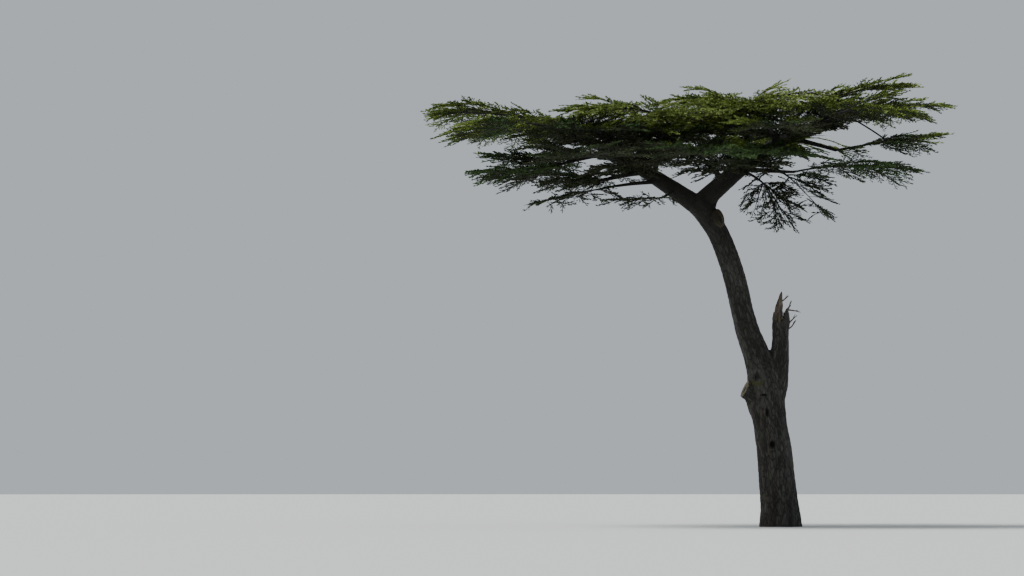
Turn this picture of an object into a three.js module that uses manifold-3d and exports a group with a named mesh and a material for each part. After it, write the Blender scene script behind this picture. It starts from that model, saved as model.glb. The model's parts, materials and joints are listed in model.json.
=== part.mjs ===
// A mature cedar of Lebanon: a leaning trunk with a broken second stem, a fork,
// and a wide flat crown of level boughs that each carry a plate of foliage.
// Millimetres, +Z up. The origin is the middle of the flat cut at ground level.
import * as THREE from 'three';
import { mergeVertices } from 'three/addons/utils/BufferGeometryUtils.js';
import Module from 'manifold-3d';

const wasm = await Module();
wasm.setup();

// Fits between neighbouring solids.
const CLEARANCE = 0.3;
const GROWTH = 0.45; // what a limb is swollen by when it cuts the limb that meets it
const SEARCH = 1; // how far off a neighbour is still measured
const MERGE = 1e-3; // points closer than this are one point

// The trunk's stations from below the ground cut to the fork: height, lean along X,
// sway along Y, and radius.
const TRUNK = [
  { height: -400, lean: 20, sway: 0, radius: 930 },
  { height: 0, lean: 0, sway: 0, radius: 840 },
  { height: 800, lean: -15, sway: 10, radius: 785 },
  { height: 2100, lean: -120, sway: 20, radius: 750 },
  { height: 3200, lean: -215, sway: 30, radius: 725 },
  { height: 4200, lean: -370, sway: 30, radius: 690 },
  { height: 5300, lean: -510, sway: 20, radius: 735 },
  { height: 6200, lean: -620, sway: 0, radius: 715 },
  { height: 7100, lean: -930, sway: -30, radius: 550 },
  { height: 8000, lean: -1270, sway: -60, radius: 495 },
  { height: 9000, lean: -1530, sway: -80, radius: 455 },
  { height: 10100, lean: -1770, sway: -70, radius: 450 },
  { height: 11200, lean: -2100, sway: -40, radius: 440 },
  { height: 12250, lean: -2530, sway: 0, radius: 430 },
  { height: 13050, lean: -3030, sway: 0, radius: 470 },
  { height: 13500, lean: -3360, sway: 0, radius: 520 },
];
const TRUNK_FACETS = { sides: 14, steps: 17 };
const TRUNK_SEARCH = 400; // points along the trunk in which a height is looked for
const FLARE = { lobes: 5, depth: 0.085, swell: 0.5, height: 870 };
const GROUND_BLOCK = 6000; // what cuts the trunk off flat at the ground

// The second stem, snapped off above the lower fork, and its splinters: place round
// the rim, height above the break, lean inwards, and radius at the foot.
const BROKEN_STEM = [
  { height: 5900, lean: -65, sway: -40, radius: 430 },
  { height: 6900, lean: 5, sway: -60, radius: 410 },
  { height: 7700, lean: 65, sway: -60, radius: 350 },
  { height: 8500, lean: 68, sway: -50, radius: 345 },
];
const SPLINTERS = [
  { place: 165, height: 1250, lean: 250, radius: 220 },
  { place: 110, height: 620, lean: 30, radius: 150 },
  { place: 215, height: 450, lean: 20, radius: 140 },
  { place: 35, height: 450, lean: 20, radius: 140 },
  { place: 352, height: 700, lean: -90, radius: 190 },
];
const SPLINTER = { reach: 0.62, sink: 260, sides: 5 }; // reach is a share of the stem's radius
const BROKEN_FACETS = { sides: 10, steps: 5 };

// Dead twigs on the broken stem: place round it, distance of the root from its middle,
// and foot, the height above the break.
const DEAD_TWIGS = [
  { place: 0, root: 0, foot: 800, length: 435, rise: 38, radius: 32 },
  { place: 0, root: 240, foot: 480, length: 450, rise: 59, radius: 28 },
  { place: 12, root: 280, foot: 450, length: 290, rise: 54, radius: 40 },
  { place: 350, root: 250, foot: 475, length: 600, rise: -10, radius: 26 },
  { place: 8, root: 250, foot: -200, length: 640, rise: 45, radius: 32 },
  { place: 355, root: 250, foot: -330, length: 550, rise: 44, radius: 32 },
];
const DEAD_TWIG_SIDES = 3;

// Limbs sawn off short: where they leave the trunk, which way they point, and how far.
const SAWN_STUBS = [
  { name: 'sawn_stub_low', height: 5250, heading: 188, rise: 25, length: 1030, radius: 500, face: 380 },
  { name: 'sawn_stub_high', height: 12630, heading: -55, rise: 16, length: 500, radius: 380, face: 360 },
];
const STUB_FACETS = { sides: 10, steps: 2 };

// Boughs. heading is the plan angle in degrees, 0 along +X and 90 along +Y; run is the
// level distance to the tip, rise the height gained, arch how much of it comes early.
// collar is the swelling where it leaves the trunk. foliage gives the plate that the
// tip carries: its own heading, reach, lift, spread (full width) and depth; roll turns
// it about its stem, and open leaves out the dense middle.
const MAIN_BOUGHS = [
  {
    name: 'bough_left', at: 0.945, heading: 178, run: 5800, rise: 3380, arch: 0.08,
    radius: 420, tip: 120, collar: 0,
    foliage: { heading: 179, reach: 5600, lift: 700, spread: 5000, depth: 850 },
  },
  {
    name: 'bough_right', at: 0.98, heading: -3, run: 6150, rise: 3650, arch: 0.2,
    radius: 430, tip: 125, collar: 0,
    foliage: { heading: 0, reach: 4300, lift: 430, spread: 4200, depth: 700 },
  },
];
const BOUGHS = [
  {
    name: 'left_low', from: 'bough_left', at: 0.42, heading: 209, run: 2010, rise: -480, arch: 0.03,
    radius: 150,
    foliage: { heading: 181, reach: 5350, lift: 300, spread: 4600, depth: 1000 },
  },
  {
    name: 'left_droop', from: 'bough_left', at: 0.3, heading: 212, run: 3000, rise: -450, arch: 0.03,
    radius: 95,
    foliage: { heading: 191, reach: 3400, lift: -650, spread: 1800, depth: 500, roll: 50, open: true },
  },
  {
    name: 'left_mid', from: 'bough_left', at: 0.66, heading: 155, run: 2750, rise: -470, arch: 0.03,
    radius: 115,
    foliage: { heading: 174, reach: 2750, lift: 560, spread: 3000, depth: 600 },
  },
  {
    name: 'left_inner', from: 'bough_left', at: 0.2, heading: 240, run: 970, rise: -330, arch: 0.05,
    radius: 75,
    foliage: { heading: 195, reach: 2650, lift: -200, spread: 1300, depth: 400, roll: 60, open: true },
  },
  {
    name: 'left_front', from: 'bough_left', at: 0.72, heading: 246, run: 3340, rise: 180, arch: 0.05,
    radius: 165,
    foliage: { heading: 218, reach: 4800, lift: 150, spread: 4700, depth: 950 },
  },
  {
    name: 'left_front_inner', from: 'bough_left', at: 0.45, heading: 257, run: 3070, rise: -130, arch: 0.06,
    radius: 160,
    foliage: { heading: 237, reach: 5200, lift: -240, spread: 4600, depth: 1300 },
  },
  {
    name: 'left_front_high', from: 'bough_left', at: 0.6, heading: 253, run: 2530, rise: 420, arch: 0.08,
    radius: 140,
    foliage: { heading: 264, reach: 3900, lift: 0, spread: 3600, depth: 750 },
  },
  {
    name: 'left_back', from: 'bough_left', at: 0.8, heading: 113, run: 3090, rise: 560, arch: 0.05,
    radius: 160,
    foliage: { heading: 146, reach: 5200, lift: 440, spread: 4200, depth: 850 },
  },
  {
    name: 'left_back_inner', from: 'bough_left', at: 0.55, heading: 107, run: 3540, rise: 1480, arch: 0.06,
    radius: 165,
    foliage: { heading: 105, reach: 4900, lift: 600, spread: 3700, depth: 1300 },
  },
  {
    name: 'top_left', from: 'bough_left', at: 0.6, heading: 57, run: 1650, rise: 1850, arch: 0.2,
    radius: 125,
    foliage: { heading: 161, reach: 3450, lift: 430, spread: 4200, depth: 950 },
  },
  {
    name: 'top_left_front', from: 'bough_left', at: 0.36, heading: 285, run: 2050, rise: 2000, arch: 0.2,
    radius: 130,
    foliage: { heading: 200, reach: 3800, lift: 380, spread: 4400, depth: 900 },
  },
  {
    name: 'top_centre', from: 'bough_right', at: 0.34, heading: 100, run: 1230, rise: 2480, arch: 0.25,
    radius: 150,
    foliage: { heading: 162, reach: 3500, lift: 60, spread: 4000, depth: 1150 },
  },
  {
    name: 'top_crest', from: 'bough_right', at: 0.34, heading: 252, run: 1570, rise: 2050, arch: 0.25,
    radius: 130,
    foliage: { heading: 11, reach: 4000, lift: 260, spread: 4200, depth: 1200 },
  },
  {
    name: 'top_right', from: 'bough_right', at: 0.55, heading: 44, run: 1540, rise: 1480, arch: 0.2,
    radius: 125,
    foliage: { heading: 356, reach: 4650, lift: 980, spread: 3300, depth: 900 },
  },
  {
    name: 'right_mid', from: 'bough_right', at: 0.6, heading: 334, run: 2100, rise: -630, arch: 0.03,
    radius: 130,
    foliage: { heading: 1, reach: 4550, lift: 590, spread: 3900, depth: 850 },
  },
  {
    name: 'right_low', from: 'bough_right', at: 0.28, heading: 324, run: 2560, rise: -320, arch: -0.02,
    radius: 115,
    foliage: { heading: 4, reach: 5000, lift: 100, spread: 3600, depth: 750 },
  },
  {
    name: 'right_hang', from: 'bough_right', at: 0.36, heading: 329, run: 1710, rise: -860, arch: 0.12,
    radius: 80,
    foliage: { heading: 7, reach: 1550, lift: -1560, spread: 2000, depth: 700, roll: 70, open: true },
  },
  {
    name: 'right_hang_inner', from: 'bough_right', at: 0.26, heading: 314, run: 1420, rise: -660, arch: 0.15,
    radius: 80,
    foliage: { heading: 346, reach: 1230, lift: -1850, spread: 2000, depth: 700, roll: 70, open: true },
  },
  {
    name: 'right_front', from: 'bough_right', at: 0.7, heading: 294, run: 2930, rise: 360, arch: 0.06,
    radius: 155,
    foliage: { heading: 317, reach: 3950, lift: -270, spread: 4400, depth: 750 },
  },
  {
    name: 'right_front_inner', from: 'bough_right', at: 0.52, heading: 261, run: 3170, rise: 90, arch: 0.06,
    radius: 155,
    foliage: { heading: 268, reach: 5000, lift: -450, spread: 4400, depth: 1100 },
  },
  {
    name: 'right_back', from: 'bough_right', at: 0.78, heading: 61, run: 3480, rise: 740, arch: 0.06,
    radius: 155,
    foliage: { heading: 39, reach: 4450, lift: 350, spread: 4000, depth: 750 },
  },
  {
    name: 'right_back_inner', from: 'bough_right', at: 0.55, heading: 80, run: 3840, rise: 460, arch: 0.06,
    radius: 160,
    foliage: { heading: 78, reach: 4900, lift: 500, spread: 4300, depth: 1100 },
  },
  {
    name: 'front_low', from: 'bough_right', at: 0.16, heading: 251, run: 2700, rise: 520, arch: 0.08,
    radius: 150,
    foliage: { heading: 263, reach: 5000, lift: -200, spread: 4200, depth: 1200 },
  },
  {
    name: 'front_right_low', from: 'bough_right', at: 0.24, heading: 281, run: 2060, rise: 320, arch: 0.08,
    radius: 115,
    foliage: { heading: 303, reach: 3500, lift: -170, spread: 3700, depth: 700 },
  },
  {
    name: 'back_mid', from: 'bough_left', at: 0.42, heading: 76, run: 3730, rise: 1450, arch: 0.08,
    radius: 165,
    foliage: { heading: 90, reach: 4900, lift: 420, spread: 3600, depth: 1500 },
  },
  {
    name: 'back_right', from: 'bough_right', at: 0.28, heading: 99, run: 4020, rise: 2150, arch: 0.08,
    radius: 150,
    foliage: { heading: 82, reach: 4750, lift: 400, spread: 3600, depth: 1400 },
  },
];
const MAIN_FACETS = { sides: 10, steps: 6 };
const BOUGH_FACETS = { sides: 5, steps: 4 };
const BOUGH_TIP = 0.45; // a bough's tip radius, as a share of its foot's
const COLLAR = { swell: 0.25, length: 0.14 }; // the swelling where a bough leaves its parent

// Foliage plates. The stem leaves along its bough, and its foot is a share of the
// bough's tip; the outline says how far the plate spreads on each side along the stem.
const STEM = { share: 0.9, tip: 29, sides: 4, steps: 4, leaving: 0.3, straight: 0.5 };
const OUTLINE = { foot: 0.14, length: 0.78, fullness: 0.65 };

// The dense middle of a plate, as shares of its spread and depth. Where the full size
// would meet a neighbour, the first of the smaller sizes that is clear is taken.
const MIDDLE = {
  across: 0.35, deep: 0.42, uneven: 0.2, lead: 0.85, fullness: 0.7, sides: 6, steps: 4,
  sizes: [1, 0.8, 0.6, 0.4, 0.2, 0],
};

// Side twigs go by turns to left and right, steep near the foot and raked near the tip.
// beyond is how far a twig may go past the stem's tip, as a share of what is left of it,
// and tiers the height of a twig's tip above the plate, as a share of the depth.
const TWIG = {
  spacing: 1650, first: 0.12, last: 0.88, nearAngle: 70, farAngle: 36, foot: 48, sides: 3,
  angleScatter: 9, placeScatter: 0.02, reachScatter: 0.12, beyond: 1.3, tiers: [-0.35, 0.28, -0.1, 0.12],
};

// Sprays of needles: a blade at each twig's tip, one beside it on every second twig,
// one that carries the stem on, and crests that stand out of the dense middle.
const SPRAY = {
  length: 1650, share: 0.75, open: 0.75, width: 0.6, thickness: 0.08, ridge: 0.4, sink: 70,
  tilt: 12, roll: 28, place: 0.86, overhang: 0.85, level: 0.6, onStem: 0.92,
};
const SPRAY_EDGE = [
  [0.38, 0.5],
  [0.52, 0.18],
]; // along and half across, of one edge between the foot and the point
const SIDE_SPRAY = { place: 0.55, turn: 40, size: 0.85 };
const CREST = {
  spacing: 1700, first: 0.1, last: 0.8, rise: 0.3, length: 1200, spread: 80, sink: 0.82, under: 4,
};

const BARK = { color: 0x3b3a35, roughness: 0.92, metalness: 0 };
const DEAD_WOOD = { color: 0x6b6557, roughness: 0.85, metalness: 0 };
const SAWN_WOOD = { color: 0x9a7a52, roughness: 0.8, metalness: 0 };
const NEEDLES = { color: 0x3f4a22, roughness: 0.7, metalness: 0 };

const UP = new THREE.Vector3(0, 0, 1);
const UPRIGHT = 0.95; // the upward part of a direction that is taken as straight up
const radians = THREE.MathUtils.degToRad;

// A repeatable stream of numbers from 0 to 1.
function seededRandom(seed) {
  let state = seed >>> 0;
  return () => {
    state = (Math.imul(state, 1664525) + 1013904223) >>> 0;
    return state / 4294967296;
  };
}

function direction(heading, rise = 0) {
  const plan = radians(heading);
  const slope = radians(rise);
  return new THREE.Vector3(
    Math.cos(plan) * Math.cos(slope),
    Math.sin(plan) * Math.cos(slope),
    Math.sin(slope),
  );
}

function solidOf(geometry) {
  geometry.deleteAttribute('normal');
  geometry.deleteAttribute('uv');
  const merged = mergeVertices(geometry, MERGE);
  return new wasm.Manifold(
    new wasm.Mesh({
      numProp: 3,
      vertProperties: new Float32Array(merged.getAttribute('position').array),
      triVerts: new Uint32Array(merged.index.array),
    }),
  );
}

function geometryOf(solid) {
  const mesh = solid.getMesh();
  const geometry = new THREE.BufferGeometry();
  geometry.setAttribute('position', new THREE.BufferAttribute(mesh.vertProperties, mesh.numProp));
  geometry.setIndex(new THREE.BufferAttribute(mesh.triVerts, 1));
  geometry.computeVertexNormals();
  return geometry;
}

function largestPiece(solid) {
  const pieces = solid.decompose();
  return pieces.reduce((best, piece) => (piece.volume() > best.volume() ? piece : best));
}

// Frames that follow a curve without twisting about it.
function framesAlong(curve, steps) {
  const start = curve.getTangent(0);
  const aside = Math.abs(start.z) > UPRIGHT ? new THREE.Vector3(0, 1, 0) : UP;
  let across = new THREE.Vector3().crossVectors(aside, start);
  const frames = [];
  for (let i = 0; i <= steps; i++) {
    const tangent = curve.getTangent(i / steps);
    across = across.clone().addScaledVector(tangent, -across.dot(tangent)).normalize();
    const beside = new THREE.Vector3().crossVectors(across, tangent);
    frames.push({ point: curve.getPoint(i / steps), tangent, across, beside });
  }
  return frames;
}

// A tapering tube: a closed cylinder, or a cone where it is pointed, bent along a curve.
function tube(curve, radiusAt, { sides, steps, pointed = false, grow = 0 }) {
  const geometry = new THREE.CylinderGeometry(pointed ? 0 : 1, 1, 1, sides, steps);
  const frames = framesAlong(curve, steps);
  const position = geometry.getAttribute('position');
  for (let i = 0; i < position.count; i++) {
    const along = position.getY(i) + 0.5;
    const { point, tangent, across, beside } = frames[Math.round(along * steps)];
    const angle = Math.atan2(position.getZ(i), position.getX(i));
    const onAxis = Math.hypot(position.getX(i), position.getZ(i)) < MERGE;
    const radius = onAxis ? 0 : radiusAt(along, angle) + grow;
    const place = point
      .clone()
      .addScaledVector(across, radius * Math.cos(angle))
      .addScaledVector(beside, radius * Math.sin(angle));
    if (along < MERGE) place.addScaledVector(tangent, -grow);
    if (along > 1 - MERGE) place.addScaledVector(tangent, grow);
    position.setXYZ(i, place.x, place.y, place.z);
  }
  return solidOf(geometry);
}

function stationCurve(stations) {
  return new THREE.CatmullRomCurve3(stations.map((s) => new THREE.Vector3(s.lean, s.sway, s.height)));
}

function stationRadius(stations) {
  const last = stations.length - 1;
  return (along) => {
    const i = Math.min(Math.floor(along * last), last - 1);
    return THREE.MathUtils.lerp(stations[i].radius, stations[i + 1].radius, along * last - i);
  };
}

// The trunk's radius with the buttresses that spread into the ground.
function flaredRadius(stations) {
  const plain = stationRadius(stations);
  const curve = stationCurve(stations);
  return (along, angle) => {
    const height = Math.max(0, curve.getPoint(along).z);
    const flare = FLARE.depth * Math.exp(-((height / FLARE.height) ** 2));
    return plain(along) * (1 + flare * (FLARE.swell + Math.cos(FLARE.lobes * angle)));
  };
}

const BELOW_GROUND = solidOf(
  new THREE.BoxGeometry(GROUND_BLOCK, GROUND_BLOCK, GROUND_BLOCK).translate(0, 0, -GROUND_BLOCK / 2),
);

// Every limb by name: its curve, its radius and what it cuts from the limbs that meet it.
const limbs = new Map();
const placed = []; // what stands already, for the tests of what is added
const tree = new THREE.Group();

function near(a, b) {
  const p = a.boundingBox();
  const q = b.boundingBox();
  return [0, 1, 2].every((k) => p.min[k] - SEARCH < q.max[k] && q.min[k] - SEARCH < p.max[k]);
}

function clearOfAll(solid) {
  return placed.every((other) => !near(solid, other) || solid.minGap(other, SEARCH) > CLEARANCE);
}

function place(name, solid, finish) {
  const mesh = new THREE.Mesh(geometryOf(solid), new THREE.MeshStandardMaterial(finish));
  mesh.name = name;
  tree.add(mesh);
  placed.push(solid);
}

function addLimb(name, curve, radiusAt, { sides, steps, finish = BARK, extra = [], trim = null }) {
  const shape = (grow) => {
    const body = tube(curve, radiusAt, { sides, steps, grow });
    return trim ? body.subtract(trim) : body;
  };
  let solid = shape(0);
  if (extra.length) solid = wasm.Manifold.union([solid, ...extra]);
  for (const other of limbs.values()) {
    if (near(solid, other.grown)) solid = solid.subtract(other.grown);
  }
  solid = largestPiece(solid);
  limbs.set(name, { curve, radiusAt, grown: shape(GROWTH) });
  place(name, solid, finish);
}

function addTrunk() {
  addLimb('trunk', stationCurve(TRUNK), flaredRadius(TRUNK), { ...TRUNK_FACETS, trim: BELOW_GROUND });
}

function addBrokenStem() {
  const curve = stationCurve(BROKEN_STEM);
  const top = curve.getPoint(1);
  const rim = BROKEN_STEM.at(-1).radius;
  const splinters = SPLINTERS.map((s) => {
    const out = direction(s.place);
    const foot = top.clone().addScaledVector(out, rim * SPLINTER.reach).addScaledVector(UP, -SPLINTER.sink);
    const tip = top.clone().addScaledVector(out, rim * SPLINTER.reach - s.lean).addScaledVector(UP, s.height);
    const line = new THREE.LineCurve3(foot, tip);
    return tube(line, () => s.radius, { sides: SPLINTER.sides, steps: 1, pointed: true });
  });
  const twigs = DEAD_TWIGS.map((s) => {
    const root = direction(s.place).multiplyScalar(s.root);
    const foot = top.clone().add(root).addScaledVector(UP, s.foot);
    const tip = foot.clone().addScaledVector(direction(s.place, s.rise), s.length);
    const line = new THREE.LineCurve3(foot, tip);
    return tube(line, () => s.radius, { sides: DEAD_TWIG_SIDES, steps: 1, pointed: true });
  });
  addLimb('broken_stem', curve, stationRadius(BROKEN_STEM), {
    ...BROKEN_FACETS,
    finish: DEAD_WOOD,
    extra: [...splinters, ...twigs],
  });
}

// The first of many points along the trunk's curve that is as high as this.
function trunkPointAt(height) {
  const points = limbs.get('trunk').curve.getPoints(TRUNK_SEARCH);
  return points.find((point) => point.z >= height);
}

function addSawnStubs() {
  for (const stub of SAWN_STUBS) {
    const foot = trunkPointAt(stub.height);
    const tip = foot.clone().addScaledVector(direction(stub.heading, stub.rise), stub.length);
    const taper = (along) => THREE.MathUtils.lerp(stub.radius, stub.face, along);
    addLimb(stub.name, new THREE.LineCurve3(foot, tip), taper, { ...STUB_FACETS, finish: SAWN_WOOD });
  }
}

// A bough's curve rises or falls as its arch says, and levels out towards the tip.
function boughCurve(start, bough) {
  const out = direction(bough.heading);
  const end = start.clone().addScaledVector(out, bough.run).addScaledVector(UP, bough.rise);
  const middle = start
    .clone()
    .addScaledVector(out, bough.run / 2)
    .addScaledVector(UP, bough.rise / 2 + bough.arch * bough.run);
  return new THREE.QuadraticBezierCurve3(start, middle, end);
}

function boughRadius(foot, tip, swell) {
  return (along) => {
    const collar = 1 + swell * Math.max(0, 1 - along / COLLAR.length) ** 2;
    return THREE.MathUtils.lerp(foot, tip, along) * collar;
  };
}

function addBough(bough, parent, facets) {
  const start = limbs.get(parent).curve.getPoint(bough.at);
  const tip = bough.tip ?? bough.radius * BOUGH_TIP;
  const radiusAt = boughRadius(bough.radius, tip, bough.collar ?? COLLAR.swell);
  addLimb(bough.name, boughCurve(start, bough), radiusAt, facets);
  return tip;
}

// One spray of needles: a toothed blade with a ridge on both sides.
function sprayBlade(foot, along, normal, length) {
  const across = new THREE.Vector3().crossVectors(normal, along).normalize();
  const up = new THREE.Vector3().crossVectors(along, across);
  const width = length * SPRAY.width;
  const rim = [[0, 0], ...SPRAY_EDGE, [1, 0], ...SPRAY_EDGE.map(([a, w]) => [a, -w]).reverse()];
  const at = ([a, w], lift) =>
    foot
      .clone()
      .addScaledVector(along, a * length)
      .addScaledVector(across, w * width)
      .addScaledVector(up, lift);
  const half = (length * SPRAY.thickness) / 2;
  const points = [...rim.map((p) => at(p, 0)), at([SPRAY.ridge, 0], half), at([SPRAY.ridge, 0], -half)];
  const top = rim.length;
  const faces = rim.flatMap((_, i) => {
    const next = (i + 1) % rim.length;
    return [next, i, top, i, next, top + 1];
  });
  const geometry = new THREE.BufferGeometry().setFromPoints(points);
  geometry.setIndex(faces);
  return solidOf(geometry);
}

// How far a plate reaches to each side of its stem, from 0 to 1, along the stem.
function plateOutline(along) {
  return Math.sin(Math.PI * (OUTLINE.foot + OUTLINE.length * along)) ** OUTLINE.fullness;
}

function stemCurve(start, leaving, plate) {
  const out = direction(plate.heading);
  const end = start.clone().addScaledVector(out, plate.reach).addScaledVector(UP, plate.lift);
  const middle = start
    .clone()
    .addScaledVector(leaving, plate.reach * STEM.leaving)
    .lerp(start.clone().lerp(end, 0.5), STEM.straight);
  return new THREE.QuadraticBezierCurve3(start, middle, end);
}

// The stem's radius, which swells into the uneven dense middle of its plate.
function plateMiddle(plate, foot, random) {
  const count = MIDDLE.sides * (MIDDLE.steps + 1);
  const uneven = Array.from({ length: count }, () => 1 + (random() - 0.5) * 2 * MIDDLE.uneven);
  return (along, angle, size) => {
    const stem = THREE.MathUtils.lerp(foot, STEM.tip, along);
    const swell = size * Math.sin(Math.PI * along ** MIDDLE.lead) ** MIDDLE.fullness;
    if (plate.open || swell < MERGE) return stem;
    const across = Math.cos(angle) / (plate.spread * MIDDLE.across * swell);
    const deep = Math.sin(angle) / (plate.depth * MIDDLE.deep * swell);
    const turn = Math.round((angle / (2 * Math.PI) + 1) * MIDDLE.sides) % MIDDLE.sides;
    const place = Math.round(along * MIDDLE.steps) * MIDDLE.sides + turn;
    return Math.max(stem, uneven[place] / Math.hypot(across, deep));
  };
}

// The stem with its middle, at the largest size that is clear of what stands there.
function clearStem(curve, middle, plate, limb) {
  const sides = plate.open ? STEM.sides : MIDDLE.sides;
  const steps = plate.open ? STEM.steps : MIDDLE.steps;
  for (const size of MIDDLE.sizes) {
    const whole = tube(curve, (along, angle) => middle(along, angle, size), { sides, steps, pointed: true });
    const solid = largestPiece(whole.subtract(limb.grown));
    if (clearOfAll(solid)) return { solid, size };
  }
  throw new Error('a plate of foliage has no room for its stem');
}

// A plate of foliage: a stem, side twigs and sprays, joined into one solid. A twig or
// spray that would touch what stands there already is left out.
function addFoliage(bough, tip, seed) {
  const plate = bough.foliage;
  const roll = radians(plate.roll ?? 0);
  const random = seededRandom(seed);
  const scatter = (size) => (random() - 0.5) * 2 * size;
  const limb = limbs.get(bough.name);
  const curve = stemCurve(limb.curve.getPoint(1), limb.curve.getTangent(1), plate);
  const middle = plateMiddle(plate, tip * STEM.share, random);
  const stem = clearStem(curve, middle, plate, limb);
  const parts = [stem.solid];

  const offer = (solid) => {
    const clear = clearOfAll(solid);
    if (clear) parts.push(solid);
    return clear;
  };
  const offerSpray = (at, along, normal, length) => {
    const side = new THREE.Vector3().crossVectors(normal, along).normalize();
    const aim = along.clone().applyAxisAngle(side, radians(scatter(SPRAY.tilt)));
    const facing = normal.clone().applyAxisAngle(along, radians(scatter(SPRAY.roll)));
    offer(sprayBlade(at.clone().addScaledVector(aim, -SPRAY.sink), aim, facing, length));
  };
  const frameAt = (along) => {
    const tangent = curve.getTangent(along);
    const level = new THREE.Vector3().crossVectors(UP, tangent).normalize().applyAxisAngle(tangent, roll);
    return { tangent, level, normal: new THREE.Vector3().crossVectors(tangent, level) };
  };

  const addTwig = (k, along, hand) => {
    const { tangent, level, normal } = frameAt(along);
    const rake = THREE.MathUtils.lerp(TWIG.nearAngle, TWIG.farAngle, along) + scatter(TWIG.angleScatter);
    const angle = radians(rake);
    const outline = plateOutline(along);
    const sideways = ((plate.spread / 2) * outline * (1 + scatter(TWIG.reachScatter))) / Math.sin(angle);
    const forwards = ((1 - along) * curve.getLength() * TWIG.beyond) / Math.cos(angle);
    const reach = Math.min(sideways, forwards);
    const length = Math.min(SPRAY.length, reach * SPRAY.share) * (plate.open ? SPRAY.open : 1);
    const run = reach - length * SPRAY.overhang;
    const foot = curve.getPoint(along);
    const end = foot
      .clone()
      .addScaledVector(tangent, run * Math.cos(angle))
      .addScaledVector(level, run * hand * Math.sin(angle))
      .addScaledVector(normal, TWIG.tiers[(k >> 1) % TWIG.tiers.length] * plate.depth * outline);
    const line = new THREE.LineCurve3(foot, end);
    if (!offer(tube(line, () => TWIG.foot, { sides: TWIG.sides, steps: 1, pointed: true }))) return;
    const aim = end.clone().sub(foot).normalize();
    const outward = aim.clone().addScaledVector(normal, -aim.dot(normal) * SPRAY.level).normalize();
    offerSpray(line.getPoint(SPRAY.place), outward, normal, length);
    if (k % 2 === (k >> 1) % 2) {
      const turned = outward.clone().applyAxisAngle(normal, -hand * radians(SIDE_SPRAY.turn));
      offerSpray(line.getPoint(SIDE_SPRAY.place), turned, normal, length * SIDE_SPRAY.size);
    }
  };
  const twigs = 2 * Math.max(2, Math.round(curve.getLength() / TWIG.spacing));
  for (let k = 0; k < twigs; k++) {
    const along = THREE.MathUtils.lerp(TWIG.first, TWIG.last, (k + 0.5) / twigs) + scatter(TWIG.placeScatter);
    addTwig(k, along, k % 2 ? 1 : -1);
  }
  const last = frameAt(1);
  const carryOn = 1 - (SPRAY.length * SPRAY.onStem) / curve.getLength();
  offerSpray(curve.getPoint(carryOn), last.tangent, last.normal, SPRAY.length);

  const dense = !plate.open && stem.size > 0;
  const crests = dense ? Math.round(curve.getLength() / CREST.spacing) : 0;
  for (let k = 0; k < crests; k++) {
    const along = THREE.MathUtils.lerp(CREST.first, CREST.last, (k + 0.5) / crests);
    const { tangent, level, normal } = frameAt(along);
    const lean = radians(scatter(CREST.spread));
    const under = k % CREST.under === CREST.under - 1;
    const out = normal.clone().applyAxisAngle(tangent, under ? Math.PI - lean : lean);
    const skin = middle(along, Math.atan2(out.dot(normal), out.dot(level)), stem.size) * CREST.sink;
    const aim = tangent.clone().addScaledVector(out, CREST.rise).normalize();
    const facing = out.clone().addScaledVector(aim, -out.dot(aim)).normalize();
    offerSpray(curve.getPoint(along).addScaledVector(out, skin), aim, facing, CREST.length);
  }

  place(`foliage_${bough.name}`, largestPiece(wasm.Manifold.union(parts)), NEEDLES);
}

addTrunk();
addBrokenStem();
addSawnStubs();
const bearing = [];
for (const bough of MAIN_BOUGHS) bearing.push([bough, addBough(bough, 'trunk', MAIN_FACETS)]);
for (const bough of BOUGHS) bearing.push([bough, addBough(bough, bough.from, BOUGH_FACETS)]);
bearing.forEach(([bough, tip], i) => addFoliage(bough, tip, i + 1));

export default tree;
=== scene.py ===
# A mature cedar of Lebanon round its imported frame: barked trunk and boughs, the broken
# second stem, the sawn stubs, and wide plates of twigs and needles. Metres, +Z up.
import json
import math

import bmesh
import bpy
import numpy as np
from bpy.props import FloatProperty, FloatVectorProperty, IntProperty, PointerProperty
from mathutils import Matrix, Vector, noise

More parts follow.
